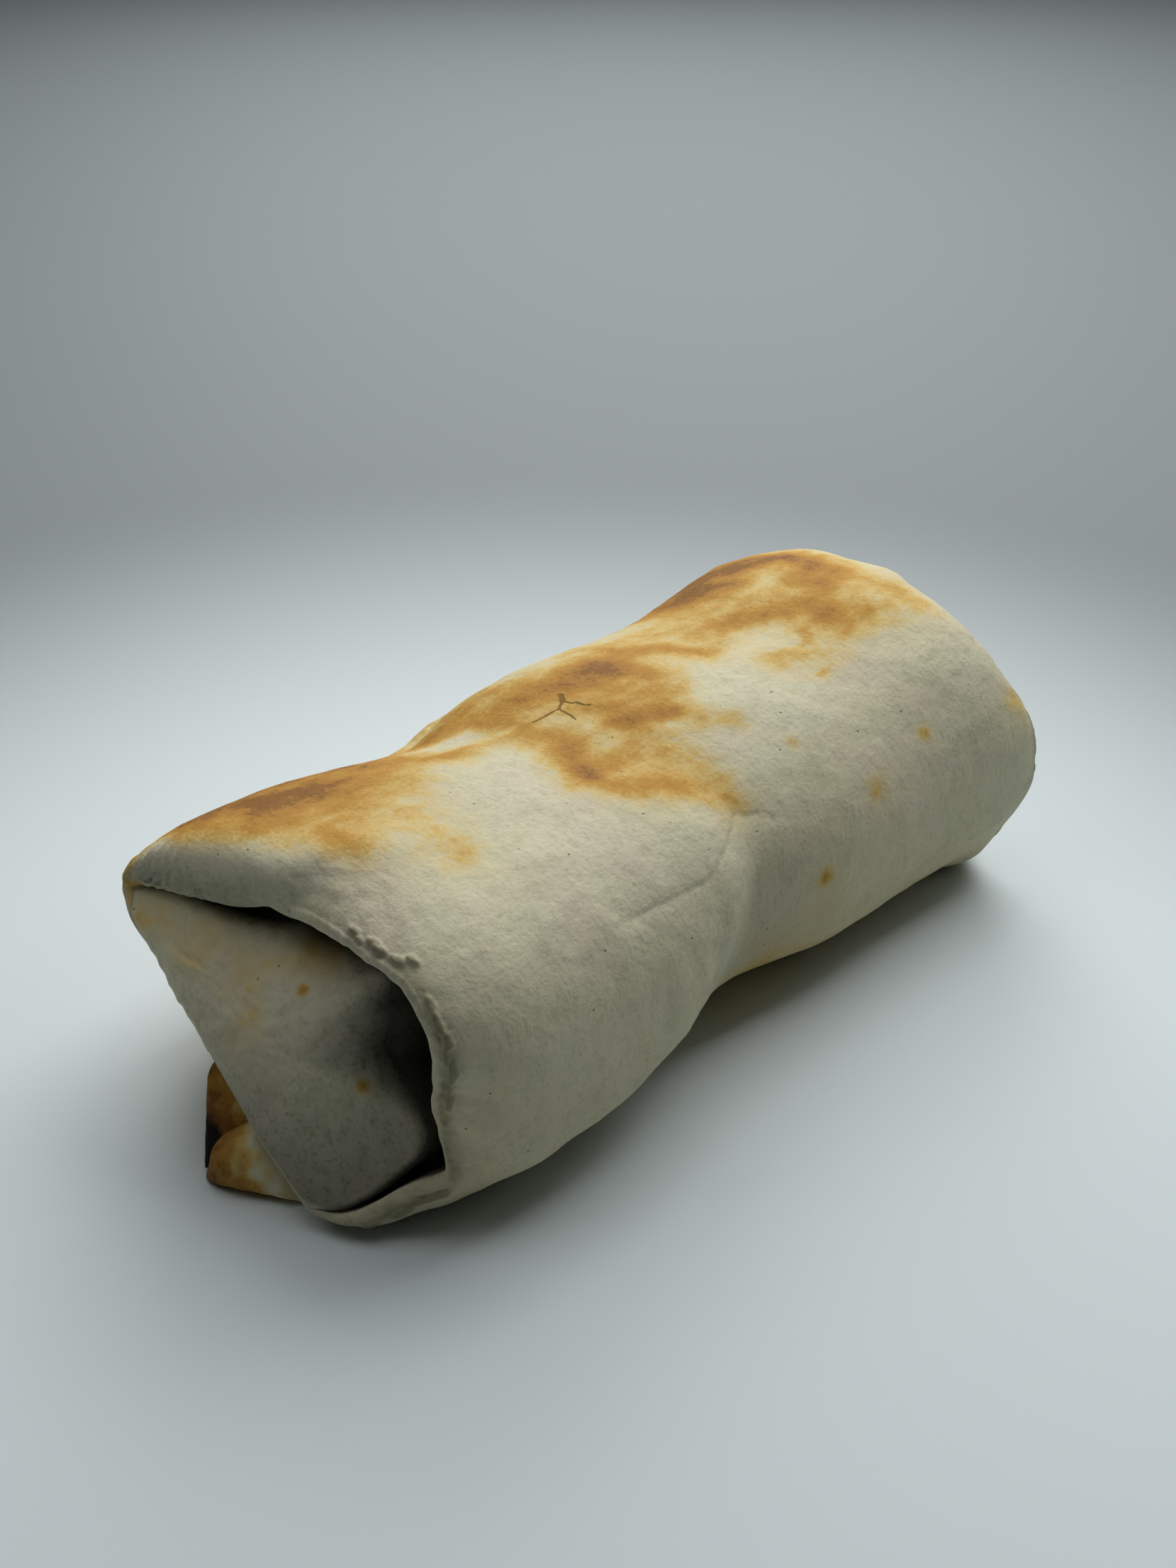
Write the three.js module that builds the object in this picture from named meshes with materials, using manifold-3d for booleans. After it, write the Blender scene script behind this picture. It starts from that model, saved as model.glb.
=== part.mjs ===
// A whole flour-tortilla burrito, rolled, folded shut at both ends and toasted.
// Frame: millimetres, +X along the roll towards the far end, +Y to the back, +Z up, and the
// origin under the middle of the burrito on the surface it lies on.
import * as THREE from "three";
import { mergeVertices } from "three/addons/utils/BufferGeometryUtils.js";
import Module from "manifold-3d";

const { PI, sin, cos, abs, min, max, sqrt, floor } = Math;

// ---- Driving dimensions -------------------------------------------------------------------
const AXIS_HEIGHT = 24; // height of the line that the sections are drawn around
const BASE_PRESS = 1.4; // how far the round base is pressed flat against the surface

// How far the roll reaches to the front, to the back and up, as [place along the roll, size].
const FRONT_REACH = [[-84, 40], [-52, 41.5], [-24, 41.5], [10, 39.5], [45, 35.5], [84, 36.5]];
const BACK_REACH = [[-84, 38.5], [-58, 40], [-22, 40.5], [14, 41], [38, 39.5], [66, 42], [84, 39]];
const TOP_HEIGHT = [[-84, 54.5], [-50, 53], [-20, 52.3], [12, 53.5], [38, 52.5], [63, 55.3], [84, 54.6]];

// How squarely each corner of a section turns: 2 is an ellipse, more is squarer.
const CORNER = { backTop: 2.55, frontBase: 2.5, backBase: 2.4 };
const FRONT_TOP_CORNER = [[-84, 3], [0, 2.9], [40, 2.35], [84, 2.1]];

// The waist between the two lobes runs slantwise round the roll. Angles here and below are in
// degrees, from the front (0) over the top (90) and the back (180) to the base (270).
const WAIST = {
  place: [[0, 1], [40, 7], [75, -2], [110, -14], [150, -22], [200, -22], [270, -10], [330, -2]],
  depth: [[0, 6], [45, 3.5], [90, 1.5], [150, 4], [200, 4], [270, 1], [330, 7]],
  nearSide: [[15, 8], [90, 13], [180, 12], [300, 18], [340, 21]],
  farSide: [[0, 26], [90, 16], [180, 12]],
};

// The rim of each mouth, as [angle of the column that ends there, x, y, z].
const NEAR_RIM = [
  [0, -65.3, -33.2, 26.2],
  [22, -65.1, -33.8, 38.1],
  [40, -64.7, -27.2, 45.7],
  [58, -65.1, -17.1, 46.9],
  [78, -64.7, -4.7, 46.8],
  [88, -64.5, 1.8, 46.1],
  [97, -64.8, 7.4, 46.6],
  [112, -66.2, 14.5, 44.2],
  [130, -69.6, 24, 42.6],
  [140, -72.6, 30, 41.8],
  [150, -75, 33, 40.4],
  [165, -76.6, 29.5, 36.2],
  [195, -76.2, 22, 29],
  [225, -76.6, 10.5, 18.3],
  [252, -77.5, -2.5, 9.5],
  [275, -78.4, -14, 4.6],
  [288, -78.2, -18.2, 2.8],
  [300, -75.5, -24.7, 3.6],
  [315, -69.8, -28.8, 7.5],
  [332, -64.6, -34.2, 11.7],
  [345, -64.3, -33, 17.8],
];
const FAR_RIM = [
  [0, 81.5, -34.5, 22],
  [22, 80.5, -33, 32],
  [45, 79.5, -25, 41],
  [65, 79.5, -13, 46],
  [88, 80, -1, 49],
  [100, 78.8, 6, 47.8],
  [115, 78.8, 14.5, 46],
  [130, 79.8, 23, 44.6],
  [142, 81.3, 29, 42],
  [152, 82, 31.5, 39],
  [165, 82.2, 29, 36],
  [195, 82, 21, 28],
  [225, 82, 10, 18],
  [252, 82.5, -3, 9],
  [275, 83, -14, 4.5],
  [288, 82, -20, 2],
  [300, 79, -24, 4],
  [315, 77, -28, 7],
  [332, 76.5, -32, 11],
  [345, 79, -34.5, 17],
];

// Round each mouth, by angle: how far behind the rim the end flap passes (sink), how much deeper
// the groove beside it goes (deep), how wide that groove is, how round the flap's edge is, the
// rim's thickness (lip), how far the rim is a fold that rolls over from the wall rather than the
// sheet's cut edge (over), how far it is closed by running on into the flap, and how much the
// base of the lower lip flares out.
const MOUTH = {
  sink: [[0, 3.5], [30, 3.5], [58, 4.5], [78, 4.5], [95, 3], [120, 1.5], [134, 0.5], [146, 0],
    [165, -1.1], [280, -1.1], [290, -0.8], [300, -0.2], [315, 0.5], [335, 2]],
  deep: [[0, 13], [30, 12], [58, 8], [95, 7], [120, 6], [134, 3], [146, 0.5], [165, 0.1],
    [280, 0.1], [290, 0.5], [300, 6], [330, 12], [345, 13]],
  wide: [[0, 12], [22, 12], [36, 10], [48, 4], [58, 3], [95, 2.5], [120, 2.2], [134, 1],
    [146, 0.4], [165, 0.1], [280, 0.1], [290, 0.2], [315, 1.3], [330, 4.5], [345, 11]],
  round: [[0, 6], [30, 6], [58, 5], [95, 4], [130, 2], [146, 0.5], [165, 0.1], [280, 0.1],
    [300, 0.5], [330, 1.5], [345, 5]],
  lip: [[0, 2.4], [78, 2.4], [95, 3.6], [112, 4.4], [130, 4.2], [146, 3.2], [165, 3.3],
    [275, 3.3], [290, 2.2], [300, 2.1], [345, 2.4]],
  over: [[0, 0], [70, 0], [80, 0], [97, 1], [142, 1], [152, 0], [165, 0]],
  closed: [[0, 0], [100, 0], [152, 0], [165, 1], [284, 1], [298, 0], [310, 0]],
  flare: [[0, 0], [200, 0], [270, 0], [282, 0], [300, 1], [318, 0.8], [335, 0], [345, 0]],
};
const FLAP_CROWN = 6.5; // how far an end flap is puffed out past a film stretched in its edge
const FLAP_EDGE_TURN = PI / 3.6; // how far round the flap's edge curves before the flap goes on
const LIP_SPREAD = 2.5; // how far the base of a mouth's lower lip stands out beyond its rim
const RIM_ROUNDING = { cut: 1 / 3, fold: 0.8 }; // how far the rim bulges out, of its thickness

// Each end: where the wall starts to turn in, how far towards the rim it still runs straight
// (shoulder, as a share), and the middle of the mouth in Y and Z.
const NEAR_END = {
  rim: NEAR_RIM,
  curves: {
    ...MOUTH,
    wallEnd: [[0, -50], [45, -50], [70, -48], [88, -52], [110, -58], [135, -62], [180, -58],
      [240, -56], [280, -60], [315, -50]],
    shoulder: [[0, 0.8], [40, 0.55], [70, 0.55], [85, 0.75], [100, 1], [138, 1], [150, 0.7],
      [180, 0.55], [240, 0.4], [280, 0.6], [315, 0.9], [345, 0.85]],
  },
  middle: [-6, 28],
  inwards: 1,
};
const FAR_END = {
  rim: FAR_RIM,
  curves: {
    ...MOUTH,
    wallEnd: [[0, 66], [90, 64], [180, 62], [240, 60], [300, 62]],
    shoulder: [[0, 0.9], [85, 0.95], [100, 1], [138, 1], [150, 0.8], [180, 0.6], [240, 0.4],
      [280, 0.6], [315, 0.95]],
  },
  middle: [-7, 27],
  inwards: -1,
};

// The folded corners that stick out at the base of the near end. Each is a patch between four
// corners (outer top, outer base, inner base, inner top), pushed back by its depth.
const NEAR_EARS = [
  {
    corners: [[-79.4, 11.7, 13.5], [-86.4, 5.2, 0], [-76, -8, 0], [-70, 2, 15]],
    depth: [11, 3, 0],
    bulge: 0.6,
  },
  {
    corners: [[-85.4, 2, 6.8], [-86.6, 4, 0], [-77.5, -14, 0], [-79.5, -3, 11.5]],
    depth: [8, 3, 0],
    bulge: 1,
  },
];
const FAR_EAR_SHIFT = 3; // the far end's corners are those of the near end mirrored and moved
const EAR_EDGE = 0.22; // share of a patch over which its border is rounded

// ---- Rows and columns of the faceted surface ----------------------------------------------
const COLUMNS = 60;
const WALL_ROWS = 24;
const SHOULDER_ROWS = 7;
const RIM_ROWS = 3;
const EDGE_ROWS = 2;
const FLAP_ROWS = 6;
const EAR_CELLS = 8;
const HAIR = 0.15; // smallest step between two rows
const WELD = 1e-4; // points nearer than this are one

// ---- Small helpers ------------------------------------------------------------------------
const mix = (a, b, k) => a + (b - a) * k;
const mixPoint = (a, b, k) => a.map((v, i) => mix(v, b[i], k));
const degrees = (radians) => (radians * 180) / PI;
const columnAngle = (j) => (2 * PI * j) / COLUMNS;
const bell = (distance, reach) => Math.exp(-((distance / reach) ** 2));

// A smooth curve through [place, value] points, level beyond its ends or closed by a period.
function curveThrough(points, period = 0) {
  const last = points.length - 1;
  const at = (i) => {
    if (!period) return points[min(last, max(0, i))];
    const turn = floor(i / (last + 1));
    const [place, value] = points[i - turn * (last + 1)];
    return [place + turn * period, value];
  };
  const slope = (i) => {
    const [[x0, v0], [x1, v1]] = [at(i - 1), at(i + 1)];
    return (v1 - v0) / (x1 - x0);
  };
  return (place) => {
    let x = place;
    if (period) x = points[0][0] + ((((place - points[0][0]) % period) + period) % period);
    let i = 0;
    while (i < (period ? last : last - 1) && x >= at(i + 1)[0]) i += 1;
    const [[x0, v0], [x1, v1]] = [at(i), at(i + 1)];
    const k = min(1, max(0, (x - x0) / (x1 - x0)));
    const bend = (x1 - x0) * k * (1 - k);
    return mix(v0, v1, k * k * (3 - 2 * k)) + bend * ((1 - k) * slope(i) - k * slope(i + 1));
  };
}
const roundCurve = (points) => curveThrough(points, 360);
const roundCurves = (tables) =>
  Object.fromEntries(Object.entries(tables).map(([name, points]) => [name, roundCurve(points)]));

// ---- The rolled wall ----------------------------------------------------------------------
const frontReach = curveThrough(FRONT_REACH);
const backReach = curveThrough(BACK_REACH);
const topHeight = curveThrough(TOP_HEIGHT);
const frontTopCorner = curveThrough(FRONT_TOP_CORNER);
const waist = roundCurves(WAIST);

// How far the skin is drawn in at the waist: quickly past the near lobe, slowly to the far one.
function waistInset(x, turn) {
  const past = x - waist.place(turn);
  return waist.depth(turn) * bell(past, past < 0 ? waist.nearSide(turn) : waist.farSide(turn));
}

function wallPoint(x, angle) {
  const [c, s] = [cos(angle), sin(angle)];
  const across = c > 0 ? frontReach(x) : backReach(x);
  const up = s > 0 ? topHeight(x) - AXIS_HEIGHT : AXIS_HEIGHT + BASE_PRESS;
  const [front, top] = [(1 + c) / 2, (1 + s) / 2];
  const squareness = mix(
    mix(CORNER.backBase, CORNER.frontBase, front),
    mix(CORNER.backTop, frontTopCorner(x), front),
    top,
  );
  const round = (abs(c / across) ** squareness + abs(s / up) ** squareness) ** (-1 / squareness);
  const reach = round - waistInset(x, degrees(angle));
  return [x, -c * reach, max(0, AXIS_HEIGHT + s * reach)];
}

// ---- The folded ends ----------------------------------------------------------------------
// Each end turns the columns of the wall over a shoulder to the rim of the mouth, round the
// rim, down the groove behind it and up to the edge of the end flap.
function endRows({ rimAt, curves, middle, inwards }, angle) {
  const turn = degrees(angle);
  const rim = rimAt.map((axis) => axis(turn));
  const [thick, over] = [curves.lip(turn), curves.over(turn)];
  const bulge = thick * mix(RIM_ROUNDING.cut, RIM_ROUNDING.fold, over);
  const rolled = (over * PI) / 2;
  const edge = [rim[0] - bulge * sin(rolled) * inwards, rim[1], rim[2]];
  const start = wallPoint(curves.wallEnd(turn), angle);
  const ahead = wallPoint(mix(start[0], edge[0], curves.shoulder(turn)), angle);
  const bend = mixPoint(ahead, [ahead[0], rim[1] - LIP_SPREAD, 0], curves.flare(turn));
  const rows = [];
  for (let i = 0; i <= SHOULDER_ROWS; i += 1) {
    const k = i / SHOULDER_ROWS;
    rows.push(mixPoint(mixPoint(start, bend, k), mixPoint(bend, edge, k), k));
  }
  const [dy, dz] = [middle[0] - rim[1], middle[1] - rim[2]];
  const span = sqrt(dy * dy + dz * dz);
  const step = (deep, across) => {
    const height = rim[2] + (dz / span) * across;
    rows.push([rim[0] + deep * inwards, rim[1] + (dy / span) * across, max(0, height)]);
  };
  const last = PI * (1 - curves.closed(turn) / 2);
  const across = (k) => (thick * (cos(rolled) - cos(k))) / (cos(rolled) + 1);
  for (let i = 1; i <= RIM_ROWS; i += 1) {
    const k = mix(rolled, last, i / (RIM_ROWS + 1));
    step(-bulge * sin(k), across(k));
  }
  const [flap, wide, round] = [curves.sink(turn), curves.wide(turn), curves.round(turn)];
  const [floorDepth, nearSide] = [flap + curves.deep(turn), across(last)];
  step(mix(-bulge * sin(last), flap, 0.5), nearSide + HAIR / 2);
  step(floorDepth, nearSide + HAIR);
  step(floorDepth, nearSide + HAIR + wide);
  for (let i = 0; i <= EDGE_ROWS; i += 1) {
    const k = (FLAP_EDGE_TURN * i) / EDGE_ROWS;
    const rise = round * (sin(FLAP_EDGE_TURN) - sin(k));
    step(flap + rise, nearSide + wide + 2 * HAIR + round * (1 - cos(k)));
  }
  return rows;
}

// The end flap inside its edge: a film stretched in the edge (each point is the mean of the
// edge, weighted by Poisson's kernel), puffed out in the middle.
function flapPoint(inwards, edge, column, radius) {
  const sum = [0, 0, 0];
  let total = 0;
  edge.forEach((point, j) => {
    const turn = (2 * PI * (j - column)) / edge.length;
    const weight = 1 / (1 - 2 * radius * cos(turn) + radius ** 2);
    total += weight;
    point.forEach((value, axis) => (sum[axis] += weight * value));
  });
  const [x, y, z] = sum.map((value) => value / total);
  return [x - inwards * FLAP_CROWN * (1 - radius ** 2), y, z];
}

// The columns of one end from the wall to the flap, and the middle point that closes them.
function endColumns({ rim, curves, middle, inwards }) {
  const rimAt = [1, 2, 3].map((axis) => roundCurve(rim.map((point) => [point[0], point[axis]])));
  const end = { rimAt, curves: roundCurves(curves), middle, inwards };
  const columns = [];
  for (let j = 0; j < COLUMNS; j += 1) columns.push(endRows(end, columnAngle(j)));
  const edge = columns.map((rows) => rows[rows.length - 1]);
  columns.forEach((rows, j) => {
    for (let i = FLAP_ROWS - 1; i > 0; i -= 1) rows.push(flapPoint(inwards, edge, j, i / FLAP_ROWS));
  });
  return { columns, pole: flapPoint(inwards, edge, 0, 0) };
}

function rollGeometry() {
  const [near, far] = [NEAR_END, FAR_END].map(endColumns);
  const columns = near.columns.map((rows, j) => {
    const [[x0], [x1]] = [rows[0], far.columns[j][0]];
    const wall = [];
    for (let i = 1; i < WALL_ROWS; i += 1) wall.push(wallPoint(mix(x0, x1, i / WALL_ROWS), columnAngle(j)));
    return [...rows.reverse(), ...wall, ...far.columns[j]];
  });
  const rows = columns[0].length;
  const id = (i, j) => (j % COLUMNS) * rows + i;
  const index = [];
  for (let j = 0; j < COLUMNS; j += 1)
    for (let i = 0; i < rows - 1; i += 1) {
      index.push(id(i, j), id(i + 1, j), id(i + 1, j + 1));
      index.push(id(i, j), id(i + 1, j + 1), id(i, j + 1));
    }
  const [nearPole, farPole] = [COLUMNS * rows, COLUMNS * rows + 1];
  for (let j = 0; j < COLUMNS; j += 1) {
    index.push(nearPole, id(0, j), id(0, j + 1));
    index.push(farPole, id(rows - 1, j + 1), id(rows - 1, j));
  }
  return geometryOf([...columns.flat(), near.pole, far.pole].flat(), index);
}

function geometryOf(positions, index) {
  return new THREE.BufferGeometry()
    .setAttribute("position", new THREE.BufferAttribute(new Float32Array(positions), 3))
    .setIndex(index);
}

// ---- Folded corners -----------------------------------------------------------------------
// A pillow between a patch, given by its four corners, and the same patch moved by `depth`.
function pillowGeometry({ corners, depth, bulge }) {
  const move = new THREE.Vector3(...depth);
  const out = move.clone().normalize().negate();
  const steps = Array.from({ length: EAR_CELLS + 1 }, (_, i) => 0.5 - 0.5 * cos((PI * i) / EAR_CELLS));
  const patch = (u, w) => {
    const [low, high] = [mixPoint(corners[0], corners[3], u), mixPoint(corners[1], corners[2], u)];
    const puffed = bulge * sin(PI * u) * sin(PI * w);
    return new THREE.Vector3(...mixPoint(low, high, w)).addScaledVector(out, puffed);
  };
  const rounding = (u, w) => {
    const border = min(1, min(u, 1 - u, w, 1 - w) / EAR_EDGE);
    return 0.5 * (1 - sqrt(max(0, 1 - (1 - border) ** 2)));
  };
  const positions = [];
  const ids = new Map();
  const vertex = (i, j, side) => {
    const onBorder = i === 0 || j === 0 || i === EAR_CELLS || j === EAR_CELLS;
    const key = `${i},${j},${onBorder ? 0 : side}`;
    if (!ids.has(key)) {
      const [u, w] = [steps[i], steps[j]];
      const back = side > 0 ? rounding(u, w) : 1 - rounding(u, w);
      ids.set(key, positions.push(...patch(u, w).addScaledVector(move, onBorder ? 0.5 : back)) / 3 - 1);
    }
    return ids.get(key);
  };
  const index = [];
  for (const side of [1, -1])
    for (let i = 0; i < EAR_CELLS; i += 1)
      for (let j = 0; j < EAR_CELLS; j += 1) {
        const cell = [[i, j], [i, j + 1], [i + 1, j + 1], [i + 1, j]];
        const quad = cell.map(([p, q]) => vertex(p, q, side));
        if (side < 0) quad.reverse();
        index.push(quad[0], quad[1], quad[2], quad[0], quad[2], quad[3]);
      }
  return geometryOf(positions, index);
}

// The same patch at the other end of the roll.
function mirrored({ corners, depth, bulge }) {
  const flip = ([x, y, z]) => [FAR_EAR_SHIFT - x, y, z];
  return { corners: corners.map(flip).reverse(), depth: [-depth[0], depth[1], depth[2]], bulge };
}

// ---- Joining ------------------------------------------------------------------------------
const wasm = await Module();
wasm.setup();

function solidOf(geometry) {
  const merged = mergeVertices(geometry, WELD);
  return new wasm.Manifold(new wasm.Mesh({
    numProp: 3,
    vertProperties: merged.attributes.position.array,
    triVerts: new Uint32Array(merged.index.array),
  }));
}

function geometryFromSolid(solid) {
  const { numProp, numVert, vertProperties, triVerts } = solid.getMesh();
  const positions = [];
  for (let i = 0; i < numVert; i += 1) {
    positions.push(...vertProperties.subarray(i * numProp, i * numProp + 3));
  }
  const geometry = geometryOf(positions, Array.from(triVerts));
  geometry.computeVertexNormals();
  return geometry;
}

const roll = solidOf(rollGeometry());
const ears = [...NEAR_EARS, ...NEAR_EARS.map(mirrored)];
const solid = ears.reduce((sum, ear) => sum.add(solidOf(pillowGeometry(ear))), roll);

const tortilla = new THREE.MeshStandardMaterial({ color: 0xd9cfae, roughness: 0.85, metalness: 0 });
const geometry = geometryFromSolid(solid);
geometry.computeBoundingBox();
const { min: low, max: high } = geometry.boundingBox;
geometry.translate(-(low.x + high.x) / 2, -(low.y + high.y) / 2, -low.z);
const burrito = new THREE.Mesh(geometry, tortilla);
burrito.name = "tortilla";

const group = new THREE.Group();
group.add(burrito);
export default group;
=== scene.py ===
"""The looks of a whole toasted burrito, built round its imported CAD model.

The tortilla is rebuilt from the same named sizes as the CAD solid, in millimetres, with many
more rows and columns, and gets the creases, pits and puffs that are too fine for the CAD.
"""
import itertools

import bmesh
import bpy
import numpy as np
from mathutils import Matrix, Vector


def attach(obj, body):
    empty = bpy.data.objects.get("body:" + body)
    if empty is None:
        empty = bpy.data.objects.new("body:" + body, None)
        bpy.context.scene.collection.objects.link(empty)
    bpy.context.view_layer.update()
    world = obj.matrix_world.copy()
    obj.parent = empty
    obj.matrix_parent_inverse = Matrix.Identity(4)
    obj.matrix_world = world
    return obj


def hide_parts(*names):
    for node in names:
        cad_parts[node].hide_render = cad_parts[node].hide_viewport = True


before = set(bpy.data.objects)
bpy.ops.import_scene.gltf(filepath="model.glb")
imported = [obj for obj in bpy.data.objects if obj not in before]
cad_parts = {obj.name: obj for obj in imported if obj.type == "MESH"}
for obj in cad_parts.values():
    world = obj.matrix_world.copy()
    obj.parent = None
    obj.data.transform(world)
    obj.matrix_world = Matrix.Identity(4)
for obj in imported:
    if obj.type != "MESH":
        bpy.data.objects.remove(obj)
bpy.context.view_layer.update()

MM = 0.001  # metres in a millimetre
HALF_TURN, FULL_TURN = 180.0, 360.0

# ---- Driving dimensions of the CAD solid, in millimetres ----
AXIS_HEIGHT = 24.0  # height of the line that the sections are drawn around
BASE_PRESS = 1.4  # how far the round base is pressed flat against the surface

# How far the roll reaches to the front, to the back and up, as (place along the roll, size).
FRONT_REACH = [(-84, 40), (-52, 41.5), (-24, 41.5), (10, 39.5), (45, 35.5), (84, 36.5)]
BACK_REACH = [(-84, 38.5), (-58, 40), (-22, 40.5), (14, 41), (38, 39.5), (66, 42), (84, 39)]
TOP_HEIGHT = [(-84, 54.5), (-50, 53), (-20, 52.3), (12, 53.5), (38, 52.5), (63, 55.3), (84, 54.6)]

# How squarely each corner of a section turns: 2 is an ellipse, more is squarer.
BACK_TOP_CORNER, FRONT_BASE_CORNER, BACK_BASE_CORNER = 2.55, 2.5, 2.4
FRONT_TOP_CORNER = [(-84, 3), (0, 2.9), (40, 2.35), (84, 2.1)]

# The waist between the two lobes runs slantwise round the roll. Angles are in degrees, from
# the front (0) over the top (90) and the back (180) to the base (270).
WAIST = {
    "place": [(0, 1), (40, 7), (75, -2), (110, -14), (150, -22), (200, -22), (270, -10), (330, -2)],
    "depth": [(0, 6), (45, 3.5), (90, 1.5), (150, 4), (200, 4), (270, 1), (330, 7)],
    "near_side": [(15, 8), (90, 13), (180, 12), (300, 18), (340, 21)],
    "far_side": [(0, 26), (90, 16), (180, 12)],
}

# The rim of each mouth, as (angle of the column that ends there, x, y, z).
NEAR_RIM = [
    (0, -65.3, -33.2, 26.2), (22, -65.1, -33.8, 38.1), (40, -64.7, -27.2, 45.7),
    (58, -65.1, -17.1, 46.9), (78, -64.7, -4.7, 46.8), (88, -64.5, 1.8, 46.1), (97, -64.8, 7.4, 46.6),
    (112, -66.2, 14.5, 44.2), (130, -69.6, 24, 42.6), (140, -72.6, 30, 41.8), (150, -75, 33, 40.4),
    (165, -76.6, 29.5, 36.2), (195, -76.2, 22, 29), (225, -76.6, 10.5, 18.3), (252, -77.5, -2.5, 9.5),
    (275, -78.4, -14, 4.6), (288, -78.2, -18.2, 2.8), (300, -75.5, -24.7, 3.6),
    (315, -69.8, -28.8, 7.5), (332, -64.6, -34.2, 11.7), (345, -64.3, -33, 17.8),
]
FAR_RIM = [
    (0, 81.5, -34.5, 22), (22, 80.5, -33, 32), (45, 79.5, -25, 41), (65, 79.5, -13, 46),
    (88, 80, -1, 49), (100, 78.8, 6, 47.8), (115, 78.8, 14.5, 46), (130, 79.8, 23, 44.6),
    (142, 81.3, 29, 42), (152, 82, 31.5, 39), (165, 82.2, 29, 36), (195, 82, 21, 28), (225, 82, 10, 18),
    (252, 82.5, -3, 9), (275, 83, -14, 4.5), (288, 82, -20, 2), (300, 79, -24, 4), (315, 77, -28, 7),
    (332, 76.5, -32, 11), (345, 79, -34.5, 17),
]

# Round each mouth, by angle: how far behind the rim the end flap passes (sink), how much deeper
# the groove beside it goes, how wide it is, how round the flap's edge is, the rim's thickness
# (lip), how far the rim is a fold that rolls over from the wall rather than a cut edge (over), how
# far it is closed by running on into the flap, and how far the lower lip's base flares out.
MOUTH = {
    "sink": [(0, 3.5), (30, 3.5), (58, 4.5), (78, 4.5), (95, 3), (120, 1.5), (134, 0.5), (146, 0),
        (165, -1.1), (280, -1.1), (290, -0.8), (300, -0.2), (315, 0.5), (335, 2)],
    "deep": [(0, 13), (30, 12), (58, 8), (95, 7), (120, 6), (134, 3), (146, 0.5), (165, 0.1),
        (280, 0.1), (290, 0.5), (300, 6), (330, 12), (345, 13)],
    "wide": [(0, 12), (22, 12), (36, 10), (48, 4), (58, 3), (95, 2.5), (120, 2.2), (134, 1),
        (146, 0.4), (165, 0.1), (280, 0.1), (290, 0.2), (315, 1.3), (330, 4.5), (345, 11)],
    "round": [(0, 6), (30, 6), (58, 5), (95, 4), (130, 2), (146, 0.5), (165, 0.1), (280, 0.1),
        (300, 0.5), (330, 1.5), (345, 5)],
    "lip": [(0, 2.4), (78, 2.4), (95, 3.6), (112, 4.4), (130, 4.2), (146, 3.2), (165, 3.3),
        (275, 3.3), (290, 2.2), (300, 2.1), (345, 2.4)],
    "over": [(0, 0), (70, 0), (80, 0), (97, 1), (142, 1), (152, 0), (165, 0)],
    "closed": [(0, 0), (100, 0), (152, 0), (165, 1), (284, 1), (298, 0), (310, 0)],
    "flare": [(0, 0), (200, 0), (270, 0), (282, 0), (300, 1), (318, 0.8), (335, 0), (345, 0)],
}
FLAP_CROWN = 6.5  # how far an end flap is puffed out past a film stretched in its edge
FLAP_EDGE_TURN = np.pi / 3.6  # how far round the flap's edge curves before the flap goes on
LIP_SPREAD = 2.5  # how far the base of a mouth's lower lip stands out beyond its rim
RIM_ROUNDING = {"cut": 1 / 3, "fold": 0.8}  # how far the rim bulges out, of its thickness
HAIR = 0.15  # smallest step between two rows

# Each end: its rim, where the wall starts to turn in, how far towards the rim it still runs
# straight, the middle of the mouth in Y and Z, the way into the roll, and how ragged the rim is.
NEAR_END = {
    "rim": NEAR_RIM,
    "wall_end": [(0, -50), (45, -50), (70, -48), (88, -52), (110, -58), (135, -62), (180, -58),
        (240, -56), (280, -60), (315, -50)],
    "shoulder": [(0, 0.8), (40, 0.55), (70, 0.55), (85, 0.75), (100, 1), (138, 1), (150, 0.7),
        (180, 0.55), (240, 0.4), (280, 0.6), (315, 0.9), (345, 0.85)],
    "middle": (-6, 28),
    "inwards": 1,
    "ragged": 1.0,
}
FAR_END = {
    "rim": FAR_RIM,
    "wall_end": [(0, 66), (90, 64), (180, 62), (240, 60), (300, 62)],
    "shoulder": [(0, 0.9), (85, 0.95), (100, 1), (138, 1), (150, 0.8), (180, 0.6), (240, 0.4),
                 (280, 0.6), (315, 0.95)],
    "middle": (-7, 27),
    "inwards": -1,
    "ragged": 0.4,
}

# The folded corners at the base of the ends: outer top, outer base, inner base, inner top.
NEAR_EARS = [
    {"corners": [(-79.4, 11.7, 13.5), (-86.4, 5.2, 0), (-76, -8, 0), (-70, 2, 15)],
     "depth": (11, 3, 0), "bulge": 0.6},
    {"corners": [(-85.4, 2, 6.8), (-86.6, 4, 0), (-77.5, -14, 0), (-79.5, -3, 11.5)],
     "depth": (8, 3, 0), "bulge": 1.0},
]
FAR_EAR_SHIFT = 3.0  # the far end's corners are those of the near end mirrored and moved
EAR_EDGE = 0.22  # share of a patch over which its border is rounded

# ---- Rows and columns of the fine surface ----
COLUMNS = 330
FINE_COLUMNS = {"middle": 28.0, "reach": 36.0, "extra": 1.6}  # closer columns on the front shoulder
COLUMN_STEPS = 7201  # angles at which the closeness of the columns is added up
WALL_ROWS = 165
SHOULDER_ROWS = 38
RIM_ROWS = 9
GROOVE_ROWS = (3, 5, 4, 4)  # rows down the groove's near side, further down, across and up
SHOULDER_CROWDING = 1.25  # above 1, the shoulder's rows lie closer together towards the rim
EDGE_ROWS = 6
FLAP_ROWS = 40
EAR_CELLS = 44


# ---- Small helpers ----
def mix(a, b, share):
    return a + (b - a) * share


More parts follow.
